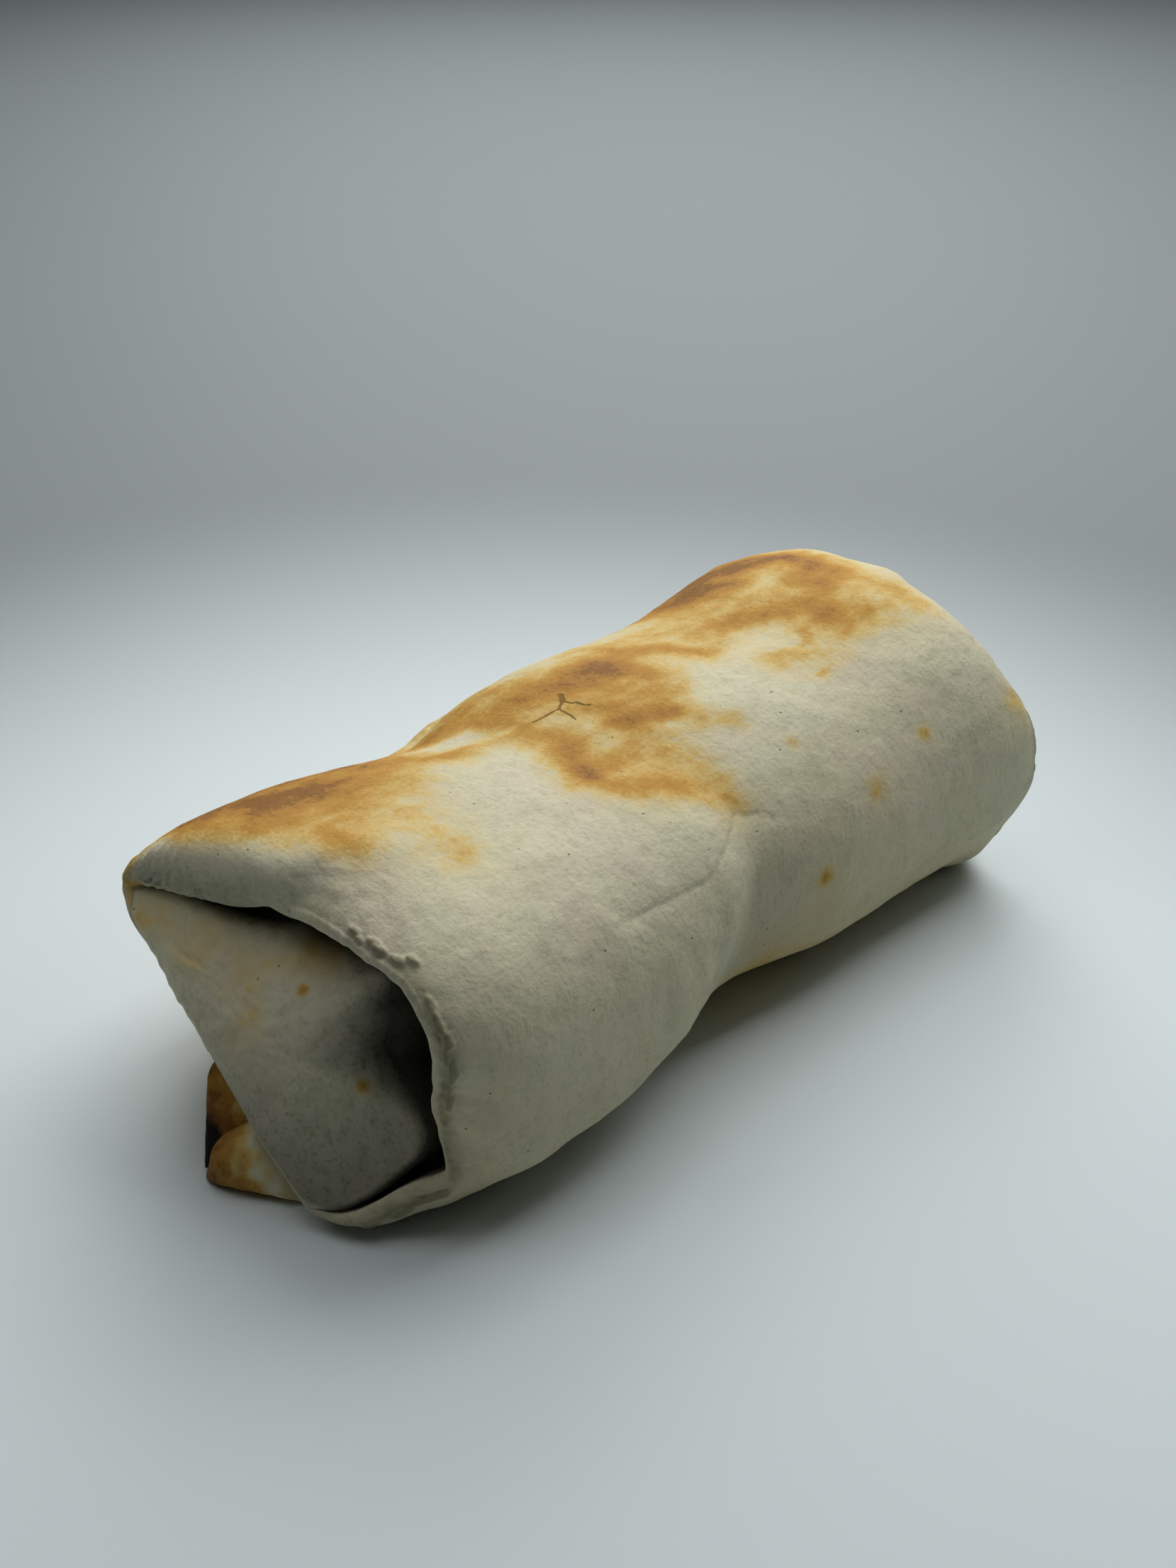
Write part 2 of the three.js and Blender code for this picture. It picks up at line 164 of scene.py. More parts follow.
def bell(distance, reach):
    return np.exp(-((distance / reach) ** 2))


def ease(value, low, high):
    """0 up to low, 1 from high, and smooth between them."""
    share = np.clip((value - low) / (high - low), 0, 1)
    return share * share * (3 - 2 * share)


def unit(vectors):
    return vectors / np.maximum(np.linalg.norm(vectors, axis=-1, keepdims=True), 1e-9)


def turn_apart(a, b):
    """The angle from b to a in degrees, from -180 to 180."""
    return (a - b + HALF_TURN) % FULL_TURN - HALF_TURN


def curve_through(points, period=0.0):
    """A smooth curve through (place, value) points, level beyond its ends or closed by a period."""
    x, v = np.array(points, float).T
    start = x[0]
    if period:
        x = np.concatenate([x[-2:] - period, x, x[:2] + period])
        v = np.concatenate([v[-2:], v, v[:2]])
    slope = np.gradient(v, x)
    slope[1:-1] = (v[2:] - v[:-2]) / (x[2:] - x[:-2])

    def at(place):
        place = np.asarray(place, float)
        if period:
            place = start + (place - start) % period
        i = np.clip(np.searchsorted(x, place, side="right") - 1, 0, len(x) - 2)
        width = x[i + 1] - x[i]
        k = np.clip((place - x[i]) / width, 0, 1)
        bend = width * k * (1 - k)
        return mix(v[i], v[i + 1], k * k * (3 - 2 * k)) + bend * ((1 - k) * slope[i] - k * slope[i + 1])

    return at


def round_curve(points):
    return curve_through(points, FULL_TURN)


# The whole numbers that turn a cell of the noise into its own slopes.
HASH_FACTORS = np.array([374761393, 668265263, 974711])
HASH_SEED_FACTOR, HASH_MIXER, HASH_BITS = 9176, 1274126177, 0xFFFFFFFF


def noise(points, size, seed):
    """Smooth noise of about -1 to 1 at points, with features of that size."""
    place = points / size + 17.3 * seed + 100.0
    cell = np.floor(place).astype(np.int64)
    part = place - cell
    fade = part**3 * (part * (part * 6 - 15) + 10)
    total = np.zeros(len(points))
    for corner in itertools.product((0, 1), repeat=3):
        at = cell + corner
        hashed = (at @ HASH_FACTORS + seed * HASH_SEED_FACTOR) & HASH_BITS
        hashed = ((hashed ^ (hashed >> 13)) * HASH_MIXER) & HASH_BITS
        hashed ^= hashed >> 16
        slopes = np.stack([(hashed >> shift & 255) / 127.5 - 1 for shift in (0, 8, 16)], -1)
        weight = np.prod(np.where(corner, fade, 1 - fade), axis=1)
        total += weight * np.sum(slopes * (part - corner), axis=1)
    return total * 1.4


def layered(points, layers, seed):
    """Noise of several sizes added up, from (size, height) layers."""
    return sum(height * noise(points, size, seed + i) for i, (size, height) in enumerate(layers))


# ---- The rolled wall ----
front_reach = curve_through(FRONT_REACH)
back_reach = curve_through(BACK_REACH)
top_height = curve_through(TOP_HEIGHT)
front_top_corner = curve_through(FRONT_TOP_CORNER)
waist = {name: round_curve(points) for name, points in WAIST.items()}


def wall_point(x, turn):
    """The skin's point at a place along the roll and an angle in degrees."""
    x, turn = np.broadcast_arrays(np.asarray(x, float), np.asarray(turn, float))
    c, s = np.cos(np.radians(turn)), np.sin(np.radians(turn))
    across = np.where(c > 0, front_reach(x), back_reach(x))
    up = np.where(s > 0, top_height(x) - AXIS_HEIGHT, AXIS_HEIGHT + BASE_PRESS)
    front, top = (1 + c) / 2, (1 + s) / 2
    base_corner = mix(BACK_BASE_CORNER, FRONT_BASE_CORNER, front)
    squareness = mix(base_corner, mix(BACK_TOP_CORNER, front_top_corner(x), front), top)
    reach = (np.abs(c / across) ** squareness + np.abs(s / up) ** squareness) ** (-1 / squareness)
    past = x - waist["place"](turn)
    side = np.where(past < 0, waist["near_side"](turn), waist["far_side"](turn))
    reach = reach - waist["depth"](turn) * bell(past, side)
    return np.stack([x, -c * reach, np.maximum(0, AXIS_HEIGHT + s * reach)], -1)


def turn_of(points):
    """The angle of points round the roll's axis, in degrees."""
    return np.degrees(np.arctan2(points[..., 2] - AXIS_HEIGHT, -points[..., 1])) % FULL_TURN


# ---- The folded ends ----
RAGGED = [(0, 1), (70, 1), (92, 0), (280, 0), (296, 1)]  # where the rim is the tortilla's raw edge
RAGGED_STEPS = ((7.0, 0.5), (2.6, 0.28))  # (size, height) of the raw edge's unevenness
LIP_UNEVEN = 0.18  # share of its thickness by which the raw edge varies


def rim_points(end, turn):
    """The rim of a mouth, uneven where it is the raw edge."""
    ragged = round_curve(RAGGED)(turn)
    rim = np.stack([round_curve([(p[0], p[axis]) for p in end["rim"]])(turn) for axis in (1, 2, 3)], -1)
    for number, (size, height) in enumerate(RAGGED_STEPS):
        rim[:, 0] += ragged * height * end["ragged"] * noise(rim, size, seed=5 + number)
    return rim


def shoulder_rows(end, turn, rim, edge, flare):
    """The rows from the wall over the shoulder to the rim's outer edge."""
    wall_end = round_curve(end["wall_end"])(turn)
    start = wall_point(wall_end, turn)
    ahead = wall_point(mix(wall_end, edge[:, 0], round_curve(end["shoulder"])(turn)), turn)
    lip_base = np.stack([ahead[:, 0], rim[:, 1] - LIP_SPREAD, 0 * turn], -1)
    bend = mix(ahead, lip_base, flare[:, None])
    shares = 1 - (1 - np.linspace(0, 1, SHOULDER_ROWS + 1)) ** SHOULDER_CROWDING
    return [mix(mix(start, bend, k), mix(bend, edge, k), k) for k in shares]


def mouth_profile(mouth, thick, bulge, rolled):
    """The rows from the rim through the groove to the flap's edge, as (depth, way across) pairs."""
    def across_at(k):
        return thick * (np.cos(rolled) - np.cos(k)) / (np.cos(rolled) + 1)

    last = np.pi * (1 - mouth["closed"] / 2)
    profile = []
    for i in range(1, RIM_ROWS + 1):
        k = mix(rolled, last, i / (RIM_ROWS + 1))
        profile.append((-bulge * np.sin(k), across_at(k)))
    flap, near_side = mouth["sink"], across_at(last)
    far_side = near_side + HAIR + mouth["wide"]
    floor_depth = flap + mouth["deep"]
    edge_base = flap + mouth["round"] * np.sin(FLAP_EDGE_TURN)
    rim_depth = -bulge * np.sin(last)
    path = [(rim_depth, near_side), (mix(rim_depth, flap, 0.5), near_side + HAIR / 2),
            (floor_depth, near_side + HAIR), (floor_depth, far_side), (edge_base, far_side + HAIR)]
    for (deep0, across0), (deep1, across1), steps in zip(path, path[1:], GROOVE_ROWS):
        for i in range(1, steps + 1):
            profile.append((mix(deep0, deep1, i / steps), mix(across0, across1, i / steps)))
    for k in FLAP_EDGE_TURN * np.arange(1, EDGE_ROWS + 1) / EDGE_ROWS:
        across = far_side + HAIR + mouth["round"] * (1 - np.cos(k))
        profile.append((edge_base - mouth["round"] * np.sin(k), across))
    return profile


def end_rows(end, turn):
    """The rows of one end from the wall over the shoulder and the rim to the flap's edge."""
    rim = rim_points(end, turn)
    mouth = {name: round_curve(values)(turn) for name, values in MOUTH.items()}
    uneven = LIP_UNEVEN * round_curve(RAGGED)(turn) * noise(rim, size=5.0, seed=8)
    thick = mouth["lip"] * (1 + uneven)
    bulge = thick * mix(RIM_ROUNDING["cut"], RIM_ROUNDING["fold"], mouth["over"])
    rolled = mouth["over"] * np.pi / 2
    edge = rim - np.column_stack([bulge * np.sin(rolled) * end["inwards"], 0 * turn, 0 * turn])
    rows = shoulder_rows(end, turn, rim, edge, mouth["flare"])
    towards = unit(np.array(end["middle"], float) - rim[:, 1:])
    for deep, across in mouth_profile(mouth, thick, bulge, rolled):
        flat = rim[:, 1:] + towards * across[:, None]
        flat[:, 1] = np.maximum(0, flat[:, 1])
        rows.append(np.column_stack([rim[:, 0] + deep * end["inwards"], flat]))
    return np.array(rows)


def flap_rows(end, edge, turn):
    """The end flap inside its edge: a film stretched in the edge and puffed out in the middle."""
    share = np.gradient(np.unwrap(np.radians(np.append(turn, turn[0] + FULL_TURN))))[:-1]
    apart = np.radians(turn[:, None] - turn[None, :])
    rows = []
    for radius in 1 - np.arange(1, FLAP_ROWS + 1) / FLAP_ROWS:
        weight = share[None, :] / (1 - 2 * radius * np.cos(apart) + radius**2)
        row = weight @ edge / weight.sum(axis=1, keepdims=True)
        row[:, 0] -= end["inwards"] * FLAP_CROWN * (1 - radius**2)
        rows.append(row)
    return np.array(rows)


def column_turns():
    """The angles of the columns, closer together on the front shoulder, where the creases are."""
    fine = np.linspace(0, FULL_TURN, COLUMN_STEPS)
    close = bell(turn_apart(fine, FINE_COLUMNS["middle"]), FINE_COLUMNS["reach"])
    count = np.cumsum(1 + FINE_COLUMNS["extra"] * close)
    count = (count - count[0]) / (count[-1] - count[0])
    return np.interp(np.arange(COLUMNS) / COLUMNS, count, fine)


turns = column_turns()
near_rows = end_rows(NEAR_END, turns)
far_rows = end_rows(FAR_END, turns)
near_flap = flap_rows(NEAR_END, near_rows[-1], turns)
far_flap = flap_rows(FAR_END, far_rows[-1], turns)
near_pole, far_pole = near_flap[-1].mean(axis=0), far_flap[-1].mean(axis=0)
wall = [wall_point(mix(near_rows[0][:, 0], far_rows[0][:, 0], i / WALL_ROWS), turns)
        for i in range(1, WALL_ROWS)]
grid = np.concatenate([near_flap[-2::-1], near_rows[::-1], wall, far_rows, far_flap[:-1]])
ROWS = len(grid)

# Rows by what they are part of, counted from the near flap's middle.
NEAR_FLAP_END = len(near_flap) - 1
NEAR_RIM_ROW = NEAR_FLAP_END + len(near_rows) - 1 - SHOULDER_ROWS
FAR_RIM_ROW = ROWS - 1 - NEAR_RIM_ROW
row_number = np.repeat(np.arange(ROWS), COLUMNS)
is_flap = (row_number < NEAR_FLAP_END) | (row_number >= ROWS - NEAR_FLAP_END)
is_skin = (row_number > NEAR_RIM_ROW - RIM_ROWS - 2) & (row_number < FAR_RIM_ROW + RIM_ROWS + 2)

column_turn = np.tile(turns, ROWS)
smooth = grid.reshape(-1, 3)  # the points before they get their relief
round_the_roll = np.roll(grid, -1, axis=1) - np.roll(grid, 1, axis=1)
normals = unit(np.cross(round_the_roll, np.gradient(grid, axis=0))).reshape(-1, 3)
turn = turn_of(smooth)
middle_y = (smooth[:, 1].min() + smooth[:, 1].max()) / 2
centre = np.array([FAR_EAR_SHIFT / 2, middle_y, 0])  # what the CAD is centred on


def surface_distance(row):
    """How far along its column each point is from a row: less than 0 before it."""
    lengths = np.linalg.norm(np.diff(grid, axis=0), axis=-1)
    along = np.concatenate([np.zeros((1, COLUMNS)), np.cumsum(lengths, axis=0)])
    return (along - along[row]).reshape(-1)


def past_row(row):
    """How far each point is from a row of its own end, towards the middle of the flap."""
    near_half = row_number < ROWS / 2
    return np.where(near_half, -surface_distance(row), surface_distance(ROWS - 1 - row))


from_near_rim = surface_distance(NEAR_RIM_ROW)
from_far_rim = -surface_distance(FAR_RIM_ROW)
from_rim = np.minimum(from_near_rim, from_far_rim)
raw = round_curve(RAGGED)(column_turn)


# ---- Relief ----
def line_on_skin(places):
    """Points on the skin from (place along the roll, angle) pairs."""
    return np.array([wall_point(x, angle) for x, angle in places])


def along_line(line, places):
    """For each place: its signed distance beside a line on the skin, and its share along it."""
    nearest = np.full(len(places), np.inf)
    beside = np.full(len(places), np.inf)
    share = np.zeros(len(places))
    lengths = np.linalg.norm(np.diff(line, axis=0), axis=1)
    done = 0.0
    for start, end, length in zip(line, line[1:], lengths):
        way = (end - start) / length
        t = np.clip((places - start) @ way, 0, length)
        off = places - start - t[:, None] * way
        distance = np.linalg.norm(off, axis=1)
        closer = distance < nearest
        side = np.sign(np.einsum("ij,ij->i", np.cross(way, normals), off))
        nearest = np.where(closer, distance, nearest)
        beside = np.where(closer, distance * side, beside)
        share = np.where(closer, (done + t) / lengths.sum(), share)
        done += length
    return beside, share


def ends_faded(share, fade=0.15):
    return ease(share, 0, fade) * (1 - ease(share, 1 - fade, 1))


FLAKE_WOBBLE = ((1.6, 0.35), (5.0, 0.5))  # (size, height) of how a flaky edge strays


def flake_step(line, height, width, drop, below, edge):
    """A flaky edge: the skin rises up to the line, drops a little there and slopes down below it."""
    beside, share = along_line(line, smooth)
    wobble = layered(smooth, FLAKE_WOBBLE, seed=21)
    beside = beside + np.where(np.abs(beside) < 3 * width, wobble, 0)
    past = ease(beside, -edge / 3, edge)
    rise = height * np.exp(-np.maximum(-beside, 0) / width) * (1 - past)
    fall = (height - drop) * np.exp(-np.maximum(beside, 0) / below) * past
    return (rise + fall) * ends_faded(share)


def furrow(line, depth, width, fade=0.25):
    """A soft furrow (or, with less than no depth, a ridge) along a line."""
    beside, share = along_line(line, smooth)
    return -depth * bell(beside, width) * ends_faded(share, fade)


# The flaky edge that parts the light top of the near lobe from its side, from left to right.
SHOULDER_CREASE = [(-33, 29.5), (-24.5, 28.7), (-17, 28), (-8.8, 27.5), (-6.3, 29.6), (-2.2, 31.8),
                   (4.5, 37.1), (9.7, 33.6), (15, 28)]
SHOULDER_FLAKE = {"height": 1.0, "width": 5.0, "drop": 0.22, "below": 6.0, "edge": 0.3}
# The near lobe's own soft edge at the waist, from the crease down to the base.
LOBE_EDGE = [(-7.9, 28), (-9.2, 21), (-12.2, 12), (-12, 1), (-13.6, 355), (-16, 345)]
LOBE_RIDGE = {"depth": -0.6, "width": 2.6}
# The outer wrap's free edge runs round the back of the roll in the arc of the tortilla's rim.
LAP_SEAM = [(-46, 160), (-34, 148), (-20, 150), (0, 158), (22, 164), (44, 174), (58, 190), (66, 208)]
LAP_FLAKE = {"height": 1.2, "width": 14.0, "drop": 1.3, "below": 14.0, "edge": 1.5}
SKIN_FURROWS = [  # (line, depth, width)
    ([(-64, 100), (-52, 84), (-38, 74)], 0.5, 5.0),
    ([(18, 62), (30, 78), (40, 92)], 0.4, 4.0),
    ([(12, 74), (28, 92), (38, 104)], -0.45, 3.0),
    ([(-30, 118), (-18, 114), (-4, 104)], 0.45, 2.5),
    ([(-34, 124), (-20, 122), (-8, 116)], -0.35, 2.0),
    ([(76, 22), (80, 40)], -0.5, 3.0),
    ([(-24, 20), (-21, 0), (-22, 338)], 0.4, 3.0),
    ([(-14, 14), (-16, 350), (-19, 330)], 0.5, 2.4),
    ([(-40, 10), (-38, 350), (-40, 335)], 0.3, 3.0),
    ([(24, 10), (26, 350)], 0.3, 3.0),
    ([(44, 20), (42, 0), (44, 345)], 0.3, 4.0),
]

LUMPS = ((24.0, 0.55), (11.0, 0.32), (4.5, 0.12), (2.2, 0.045))  # (size, height)
FLAP_LUMPS = ((7.0, 0.3), (2.2, 0.24))
SKIN_CRUMPLES, FLAP_CRUMPLES, FLAP_FIBRES, FLAP_DENTS = 0.09, 0.12, 0.2, 0.8  # heights
FLAP_DENTED = (-74.5, 15, 31)  # the place of the near flap's dented corner
PUCKER_HEIGHT, PUCKER_PITCH, DENT_HEIGHT = 0.6, 2.1, 0.4
# Air pockets that the raw edge lays open, along the rim of each mouth.
# Each as (angle, distance from the rim, half length, half width).
PITS = [
    (62, 1.2, 1.0, 0.5), (58, 0.6, 0.8, 0.5), (53.5, 1.5, 1.6, 0.75), (50.5, 0.9, 1.1, 0.7),
    (45.5, 1.2, 1.3, 0.8), (44, 2.6, 1.1, 0.6), (33, 1.0, 1.5, 0.6), (28.5, 0.7, 1.9, 0.8),
    (24, 1.2, 1.6, 0.8), (20.5, 0.4, 1.6, 0.6), (16, 1.4, 2.0, 0.8), (11, 0.8, 1.6, 0.8),
    (6.5, 1.4, 1.7, 0.7), (359, 0.5, 0.9, 0.5), (335, 1.2, 1.5, 0.9), (331.5, 0.6, 1.5, 0.8),
    (327.5, 1.4, 1.8, 0.9), (322, 0.6, 1.2, 0.7), (314, 1.0, 1.2, 0.7),
]
# How deep the pits lie, and how strongly the pits and the raw edge's band take the crumb colour, which
# also paints their shade.
PIT_DEPTH, PIT_CRUMB_AND_SHADE, EDGE_CRUMB_AND_SHADE_LIMIT = 0.65, 0.9, 0.5
NEAR_PITS, FAR_PITS = 1.0, 0.3  # how far the air pockets of each rim are laid open
GROOVE_RELIEF = 0.15  # share of the relief that goes on inside a mouth's groove
FLAP_FADE_ROWS = 4  # rows over which the flap's relief starts at its edge


def skin_creases():
    """The flaky edges, furrows and ridges of the rolled skin."""
    height = flake_step(line_on_skin(SHOULDER_CREASE), **SHOULDER_FLAKE)
    height += furrow(line_on_skin(LOBE_EDGE), **LOBE_RIDGE)
    height += flake_step(line_on_skin(LAP_SEAM), **LAP_FLAKE)
    for places, depth, width in SKIN_FURROWS:
        height += furrow(line_on_skin(places), depth, width)
    return height


def on_hood(turn, turns, from_rim, reach):
    """How much each point belongs to a patch of the near hood."""
    return bell(turn_apart(column_turn, turn), turns) * bell(from_near_rim - from_rim, reach)


def hood_creases():
    """The hood over the near mouth is puckered at its tip and dented further on."""
    across = 1.1 * smooth[:, 1] + 0.5 * noise(smooth, size=4.0, seed=31)
    puckers = PUCKER_HEIGHT * np.cos(2 * np.pi * across / PUCKER_PITCH)
    dents = DENT_HEIGHT * noise(smooth, size=2.8, seed=32)
    puckers = puckers * on_hood(turn=136, turns=14, from_rim=2.0, reach=5.5)
    return puckers + dents * on_hood(turn=82, turns=16, from_rim=6.0, reach=4.5)


def air_pockets():
    """How much each point shows the crumb inside the raw edge, darkened further as painted shade, and how
    deep it lies for that.
    """
    edge_crumb_and_shade = raw * bell(from_rim - 0.2, 1.9) * (0.3 + 0.6 * noise(smooth, size=1.3, seed=35))
    pit_crumb_and_shade = np.clip(edge_crumb_and_shade, 0, EDGE_CRUMB_AND_SHADE_LIMIT)
    depth = np.zeros(len(smooth))
    rough = 0.35 * noise(smooth, size=1.1, seed=36)
    radius = np.hypot(smooth[:, 1], smooth[:, 2] - AXIS_HEIGHT)
    for distance, opened in ((from_near_rim, NEAR_PITS), (from_far_rim, FAR_PITS)):
        for pit_turn, away, length, width in PITS:
            beside = np.radians(turn_apart(turn, pit_turn)) * radius
            out = np.hypot(beside / length, (distance - away) / width) + rough
            shape = opened * (1 - ease(out, 0.6, 1.25))
            pit_crumb_and_shade = np.maximum(pit_crumb_and_shade, PIT_CRUMB_AND_SHADE * shape)
            depth += PIT_DEPTH * shape
    return np.where(is_skin, pit_crumb_and_shade, 0), depth


def flap_relief(crumples):
    """The lumps, fibres and crumples of the end flaps, and the near one's dented corner."""
    height = layered(smooth, FLAP_LUMPS, seed=41) + FLAP_CRUMPLES * crumples
    height += FLAP_FIBRES * noise(smooth * (1.0, 0.5, 1.0), size=1.5, seed=43)
    dented = bell(np.linalg.norm(smooth - FLAP_DENTED, axis=1), 6.0)
    return height - FLAP_DENTS * dented * np.abs(noise(smooth, size=1.8, seed=44))


def relief_height(pit_depth):
    """How far the relief lifts each point."""
    crumples = np.abs(noise(smooth * (1.0, 0.6, 0.6), size=3.2, seed=9))
    crumpled = ease(noise(smooth, size=16.0, seed=10), 0, 0.6)
    height = layered(smooth, LUMPS, seed=1) + SKIN_CRUMPLES * crumples * crumpled
    height += np.where(is_skin, skin_creases() + hood_creases() - pit_depth, 0)
    height += np.where(is_flap, flap_relief(crumples), 0)
    height *= np.where(is_skin | is_flap, 1, GROOVE_RELIEF)
    rows_into_flap = np.maximum(NEAR_FLAP_END - row_number, row_number - ROWS + NEAR_FLAP_END)
    height *= np.where(is_flap, ease(rows_into_flap, 0, FLAP_FADE_ROWS), 1)
    return height * ease(smooth[:, 2], 0.3, 5.0)


pit_crumb_and_shade, pit_depth = air_pockets()
points = smooth + normals * relief_height(pit_depth)[:, None]
points[:, 2] = np.maximum(points[:, 2], 0)

# ---- Painted shade ----
# How far the painted shade of a mouth reaches over the flap, by angle, and how sharply it ends there.
FLAP_SHADE = [
    (0, 11), (30, 9), (50, 5), (78, 4), (100, 3), (125, 2), (145, 0.01), (165, 0.01), (285, 0.01),
    (300, 0.3), (330, 2.5), (345, 8),
]
LEAST_REACH, SHADE_FALLOFF = 0.01, 1.3
# How much shade is painted on the hood's face, the raw rims, the front of the waist, and the skin and
# flaps towards the base.
HOOD_PAINTED_SHADE, RIM_PAINTED_SHADE, WAIST_PAINTED_SHADE, SKIN_BASE_PAINTED_SHADE, FLAP_BASE_PAINTED_SHADE = 0.38, 0.3, 0.2, 0.24, 0.66


def mouth_shade():
    """How much shade is painted in the grooves of the mouths, and on the flaps beside them."""
    is_open = 1 - round_curve(MOUTH["closed"])(column_turn)
    in_groove = ease(past_row(NEAR_RIM_ROW - RIM_ROWS - 1), 0.2, 3.0)
    reach = np.maximum(round_curve(FLAP_SHADE)(column_turn), LEAST_REACH)
    on_flap = np.exp(-((np.maximum(0, past_row(NEAR_FLAP_END)) / reach) ** SHADE_FALLOFF))
    return is_open * np.where(is_flap, on_flap, np.where(is_skin, 0, in_groove))


def skin_shade():
    """How much shade is painted on the skin at the hood's face, the rims, the base and the front of the
    waist.
    """
    hood = HOOD_PAINTED_SHADE * bell(turn_apart(column_turn, 120), 32)
    hood *= bell(np.maximum(from_near_rim, 0), 3.5)
    rim = RIM_PAINTED_SHADE * raw * bell(from_rim - 0.4, 1.8)
    at_waist = WAIST_PAINTED_SHADE * bell(smooth[:, 0] - waist["place"](turn) - 2, 14)
    at_waist *= 1 - ease(np.abs(turn_apart(turn, 345)), 30, 70)
    return np.maximum.reduce([hood, rim, 1 - (1 - base_shade) * (1 - at_waist)])


# Shade painted on the skin and the flaps, darker towards the base.
base_shade = SKIN_BASE_PAINTED_SHADE * (1 - ease(smooth[:, 2], 2, 30))
flap_base_shade = FLAP_BASE_PAINTED_SHADE * (1 - ease(smooth[:, 2], 4, 35))
shade = np.where(is_skin, skin_shade(), np.where(is_flap, flap_base_shade, base_shade))
shade = np.maximum(mouth_shade(), shade)

# ---- Toasting ----
# Strokes of toast, as (places along the roll and angles, half width, strength): on the hood and
# the near lobe, then on the middle and the waist, then on the far lobe.
TOAST_STROKES = [
    ([(-71.2, 144), (-66.8, 138), (-58.8, 137), (-54.4, 127), (-47.7, 124)], 4.8, 0.85),
    ([(-70, 150), (-60, 148), (-48, 142), (-36, 140)], 6.0, 0.8),
    ([(-60.1, 127), (-53.9, 119), (-43.7, 117), (-36.5, 115)], 5.5, 0.5),
    ([(-35, 126), (-27.3, 120), (-21.2, 110)], 3.6, 0.55),
    ([(-65.2, 122), (-60.2, 113), (-54.8, 97), (-55.5, 89)], 3.9, 0.33),
    ([(-60.7, 117), (-58.7, 112)], 2.5, 0.2),
    ([(-55.1, 98), (-55.5, 89)], 1.9, 0.15),
    ([(-49.2, 107), (-44.9, 105)], 4.8, 0.25),
    ([(-42.1, 81), (-43.6, 66)], 3.9, 0.24),
    ([(-42.3, 85), (-44.7, 62)], 6.1, 0.08),
    ([(-68.5, 129), (-54.2, 92)], 5.1, 0.12),
    ([(-9.1, 126), (-3.2, 120), (5, 116), (12, 112)], 4.5, 0.68),
    ([(-7.6, 125), (-1.7, 120), (3.7, 118)], 2.6, 0.2),
    ([(10.3, 117), (14.5, 109), (15.8, 100)], 4.0, 0.62),
    ([(19, 121), (23.5, 113), (28.5, 107), (31.5, 98)], 2.5, 0.65),
    ([(-0.1, 103), (3.1, 94), (5.3, 84), (11.4, 78)], 2.3, 0.5),
    ([(3, 86), (4.7, 83)], 2.5, 0.25),
    ([(11.4, 78), (14.1, 68), (18, 62)], 2.1, 0.34),
    ([(3.6, 84), (-0.3, 76), (-5.6, 69)], 3.4, 0.42),
    ([(-5.5, 86), (-7.5, 75)], 2.4, 0.22),
    ([(0, 62), (3, 52)], 3.6, 0.16),
    ([(-9.7, 107), (-8.7, 96), (-10.1, 82), (-12, 72)], 2.9, 0.6),
    ([(-9.6, 87), (-12, 74)], 2.2, 0.32),
    ([(-12.4, 71), (-11.3, 62), (-8.5, 56), (-3.2, 53)], 3.1, 0.56),
    ([(-3.2, 53), (0.4, 47), (4.9, 41)], 2.9, 0.36),
    ([(4, 69), (6, 57), (7.1, 50), (6.2, 43)], 2.4, 0.34),
    ([(5, 112), (8.5, 94), (13.5, 88)], 3.3, 0.32),
    ([(-16.2, 136), (-11.3, 127), (-9.2, 110)], 1.0, 0.4),
    ([(-25.2, 115), (-18.7, 117), (-13, 108), (-12.8, 99)], 1.7, 0.34),
    ([(-36, 136), (-23.6, 136), (-14, 138)], 2.6, 0.45),
    ([(-28, 146), (-12.6, 142), (-4.2, 140), (-1.3, 132)], 3.7, 0.5),
    ([(16.5, 134), (21.1, 128), (24.9, 124)], 3.9, 0.25),
    ([(54.1, 138), (60.7, 132), (64.7, 128), (67.9, 124), (67, 114)], 4.6, 0.8),
    ([(48, 146), (60, 148), (70, 144)], 5.0, 0.5),
    ([(60, 130), (68, 119), (69, 106)], 3.4, 0.5),
    ([(46.3, 133), (50.3, 129), (52.5, 123)], 4.0, 0.75),
    ([(59.6, 108), (61.1, 101), (61.7, 96)], 2.6, 0.6),
    ([(40.9, 109), (45.5, 105), (49.4, 98), (54, 92), (54.6, 87)], 3.4, 0.75),
    ([(54.3, 82), (56.3, 75), (59.2, 73)], 2.9, 0.34),
    ([(53.2, 73), (54.2, 72)], 1.9, 0.25),
    ([(58, 86), (59.4, 77)], 2.5, 0.3),
    ([(37.3, 77), (42, 74), (45.7, 69)], 3.0, 0.36),
    ([(47.7, 83), (46.7, 78)], 1.1, 0.35),
    ([(28.6, 127), (32.6, 118), (35.5, 108)], 2.0, 0.28),
    ([(40.9, 142), (44.6, 133)], 5.5, 0.36),
    ([(65.3, 106), (67.8, 93), (70, 80), (69.8, 68)], 3.5, 0.44),
    ([(54.2, 122), (53.7, 114)], 3.0, 0.3),
    ([(41.1, 120), (53.3, 105), (59.3, 80)], 9.7, 0.12),
]
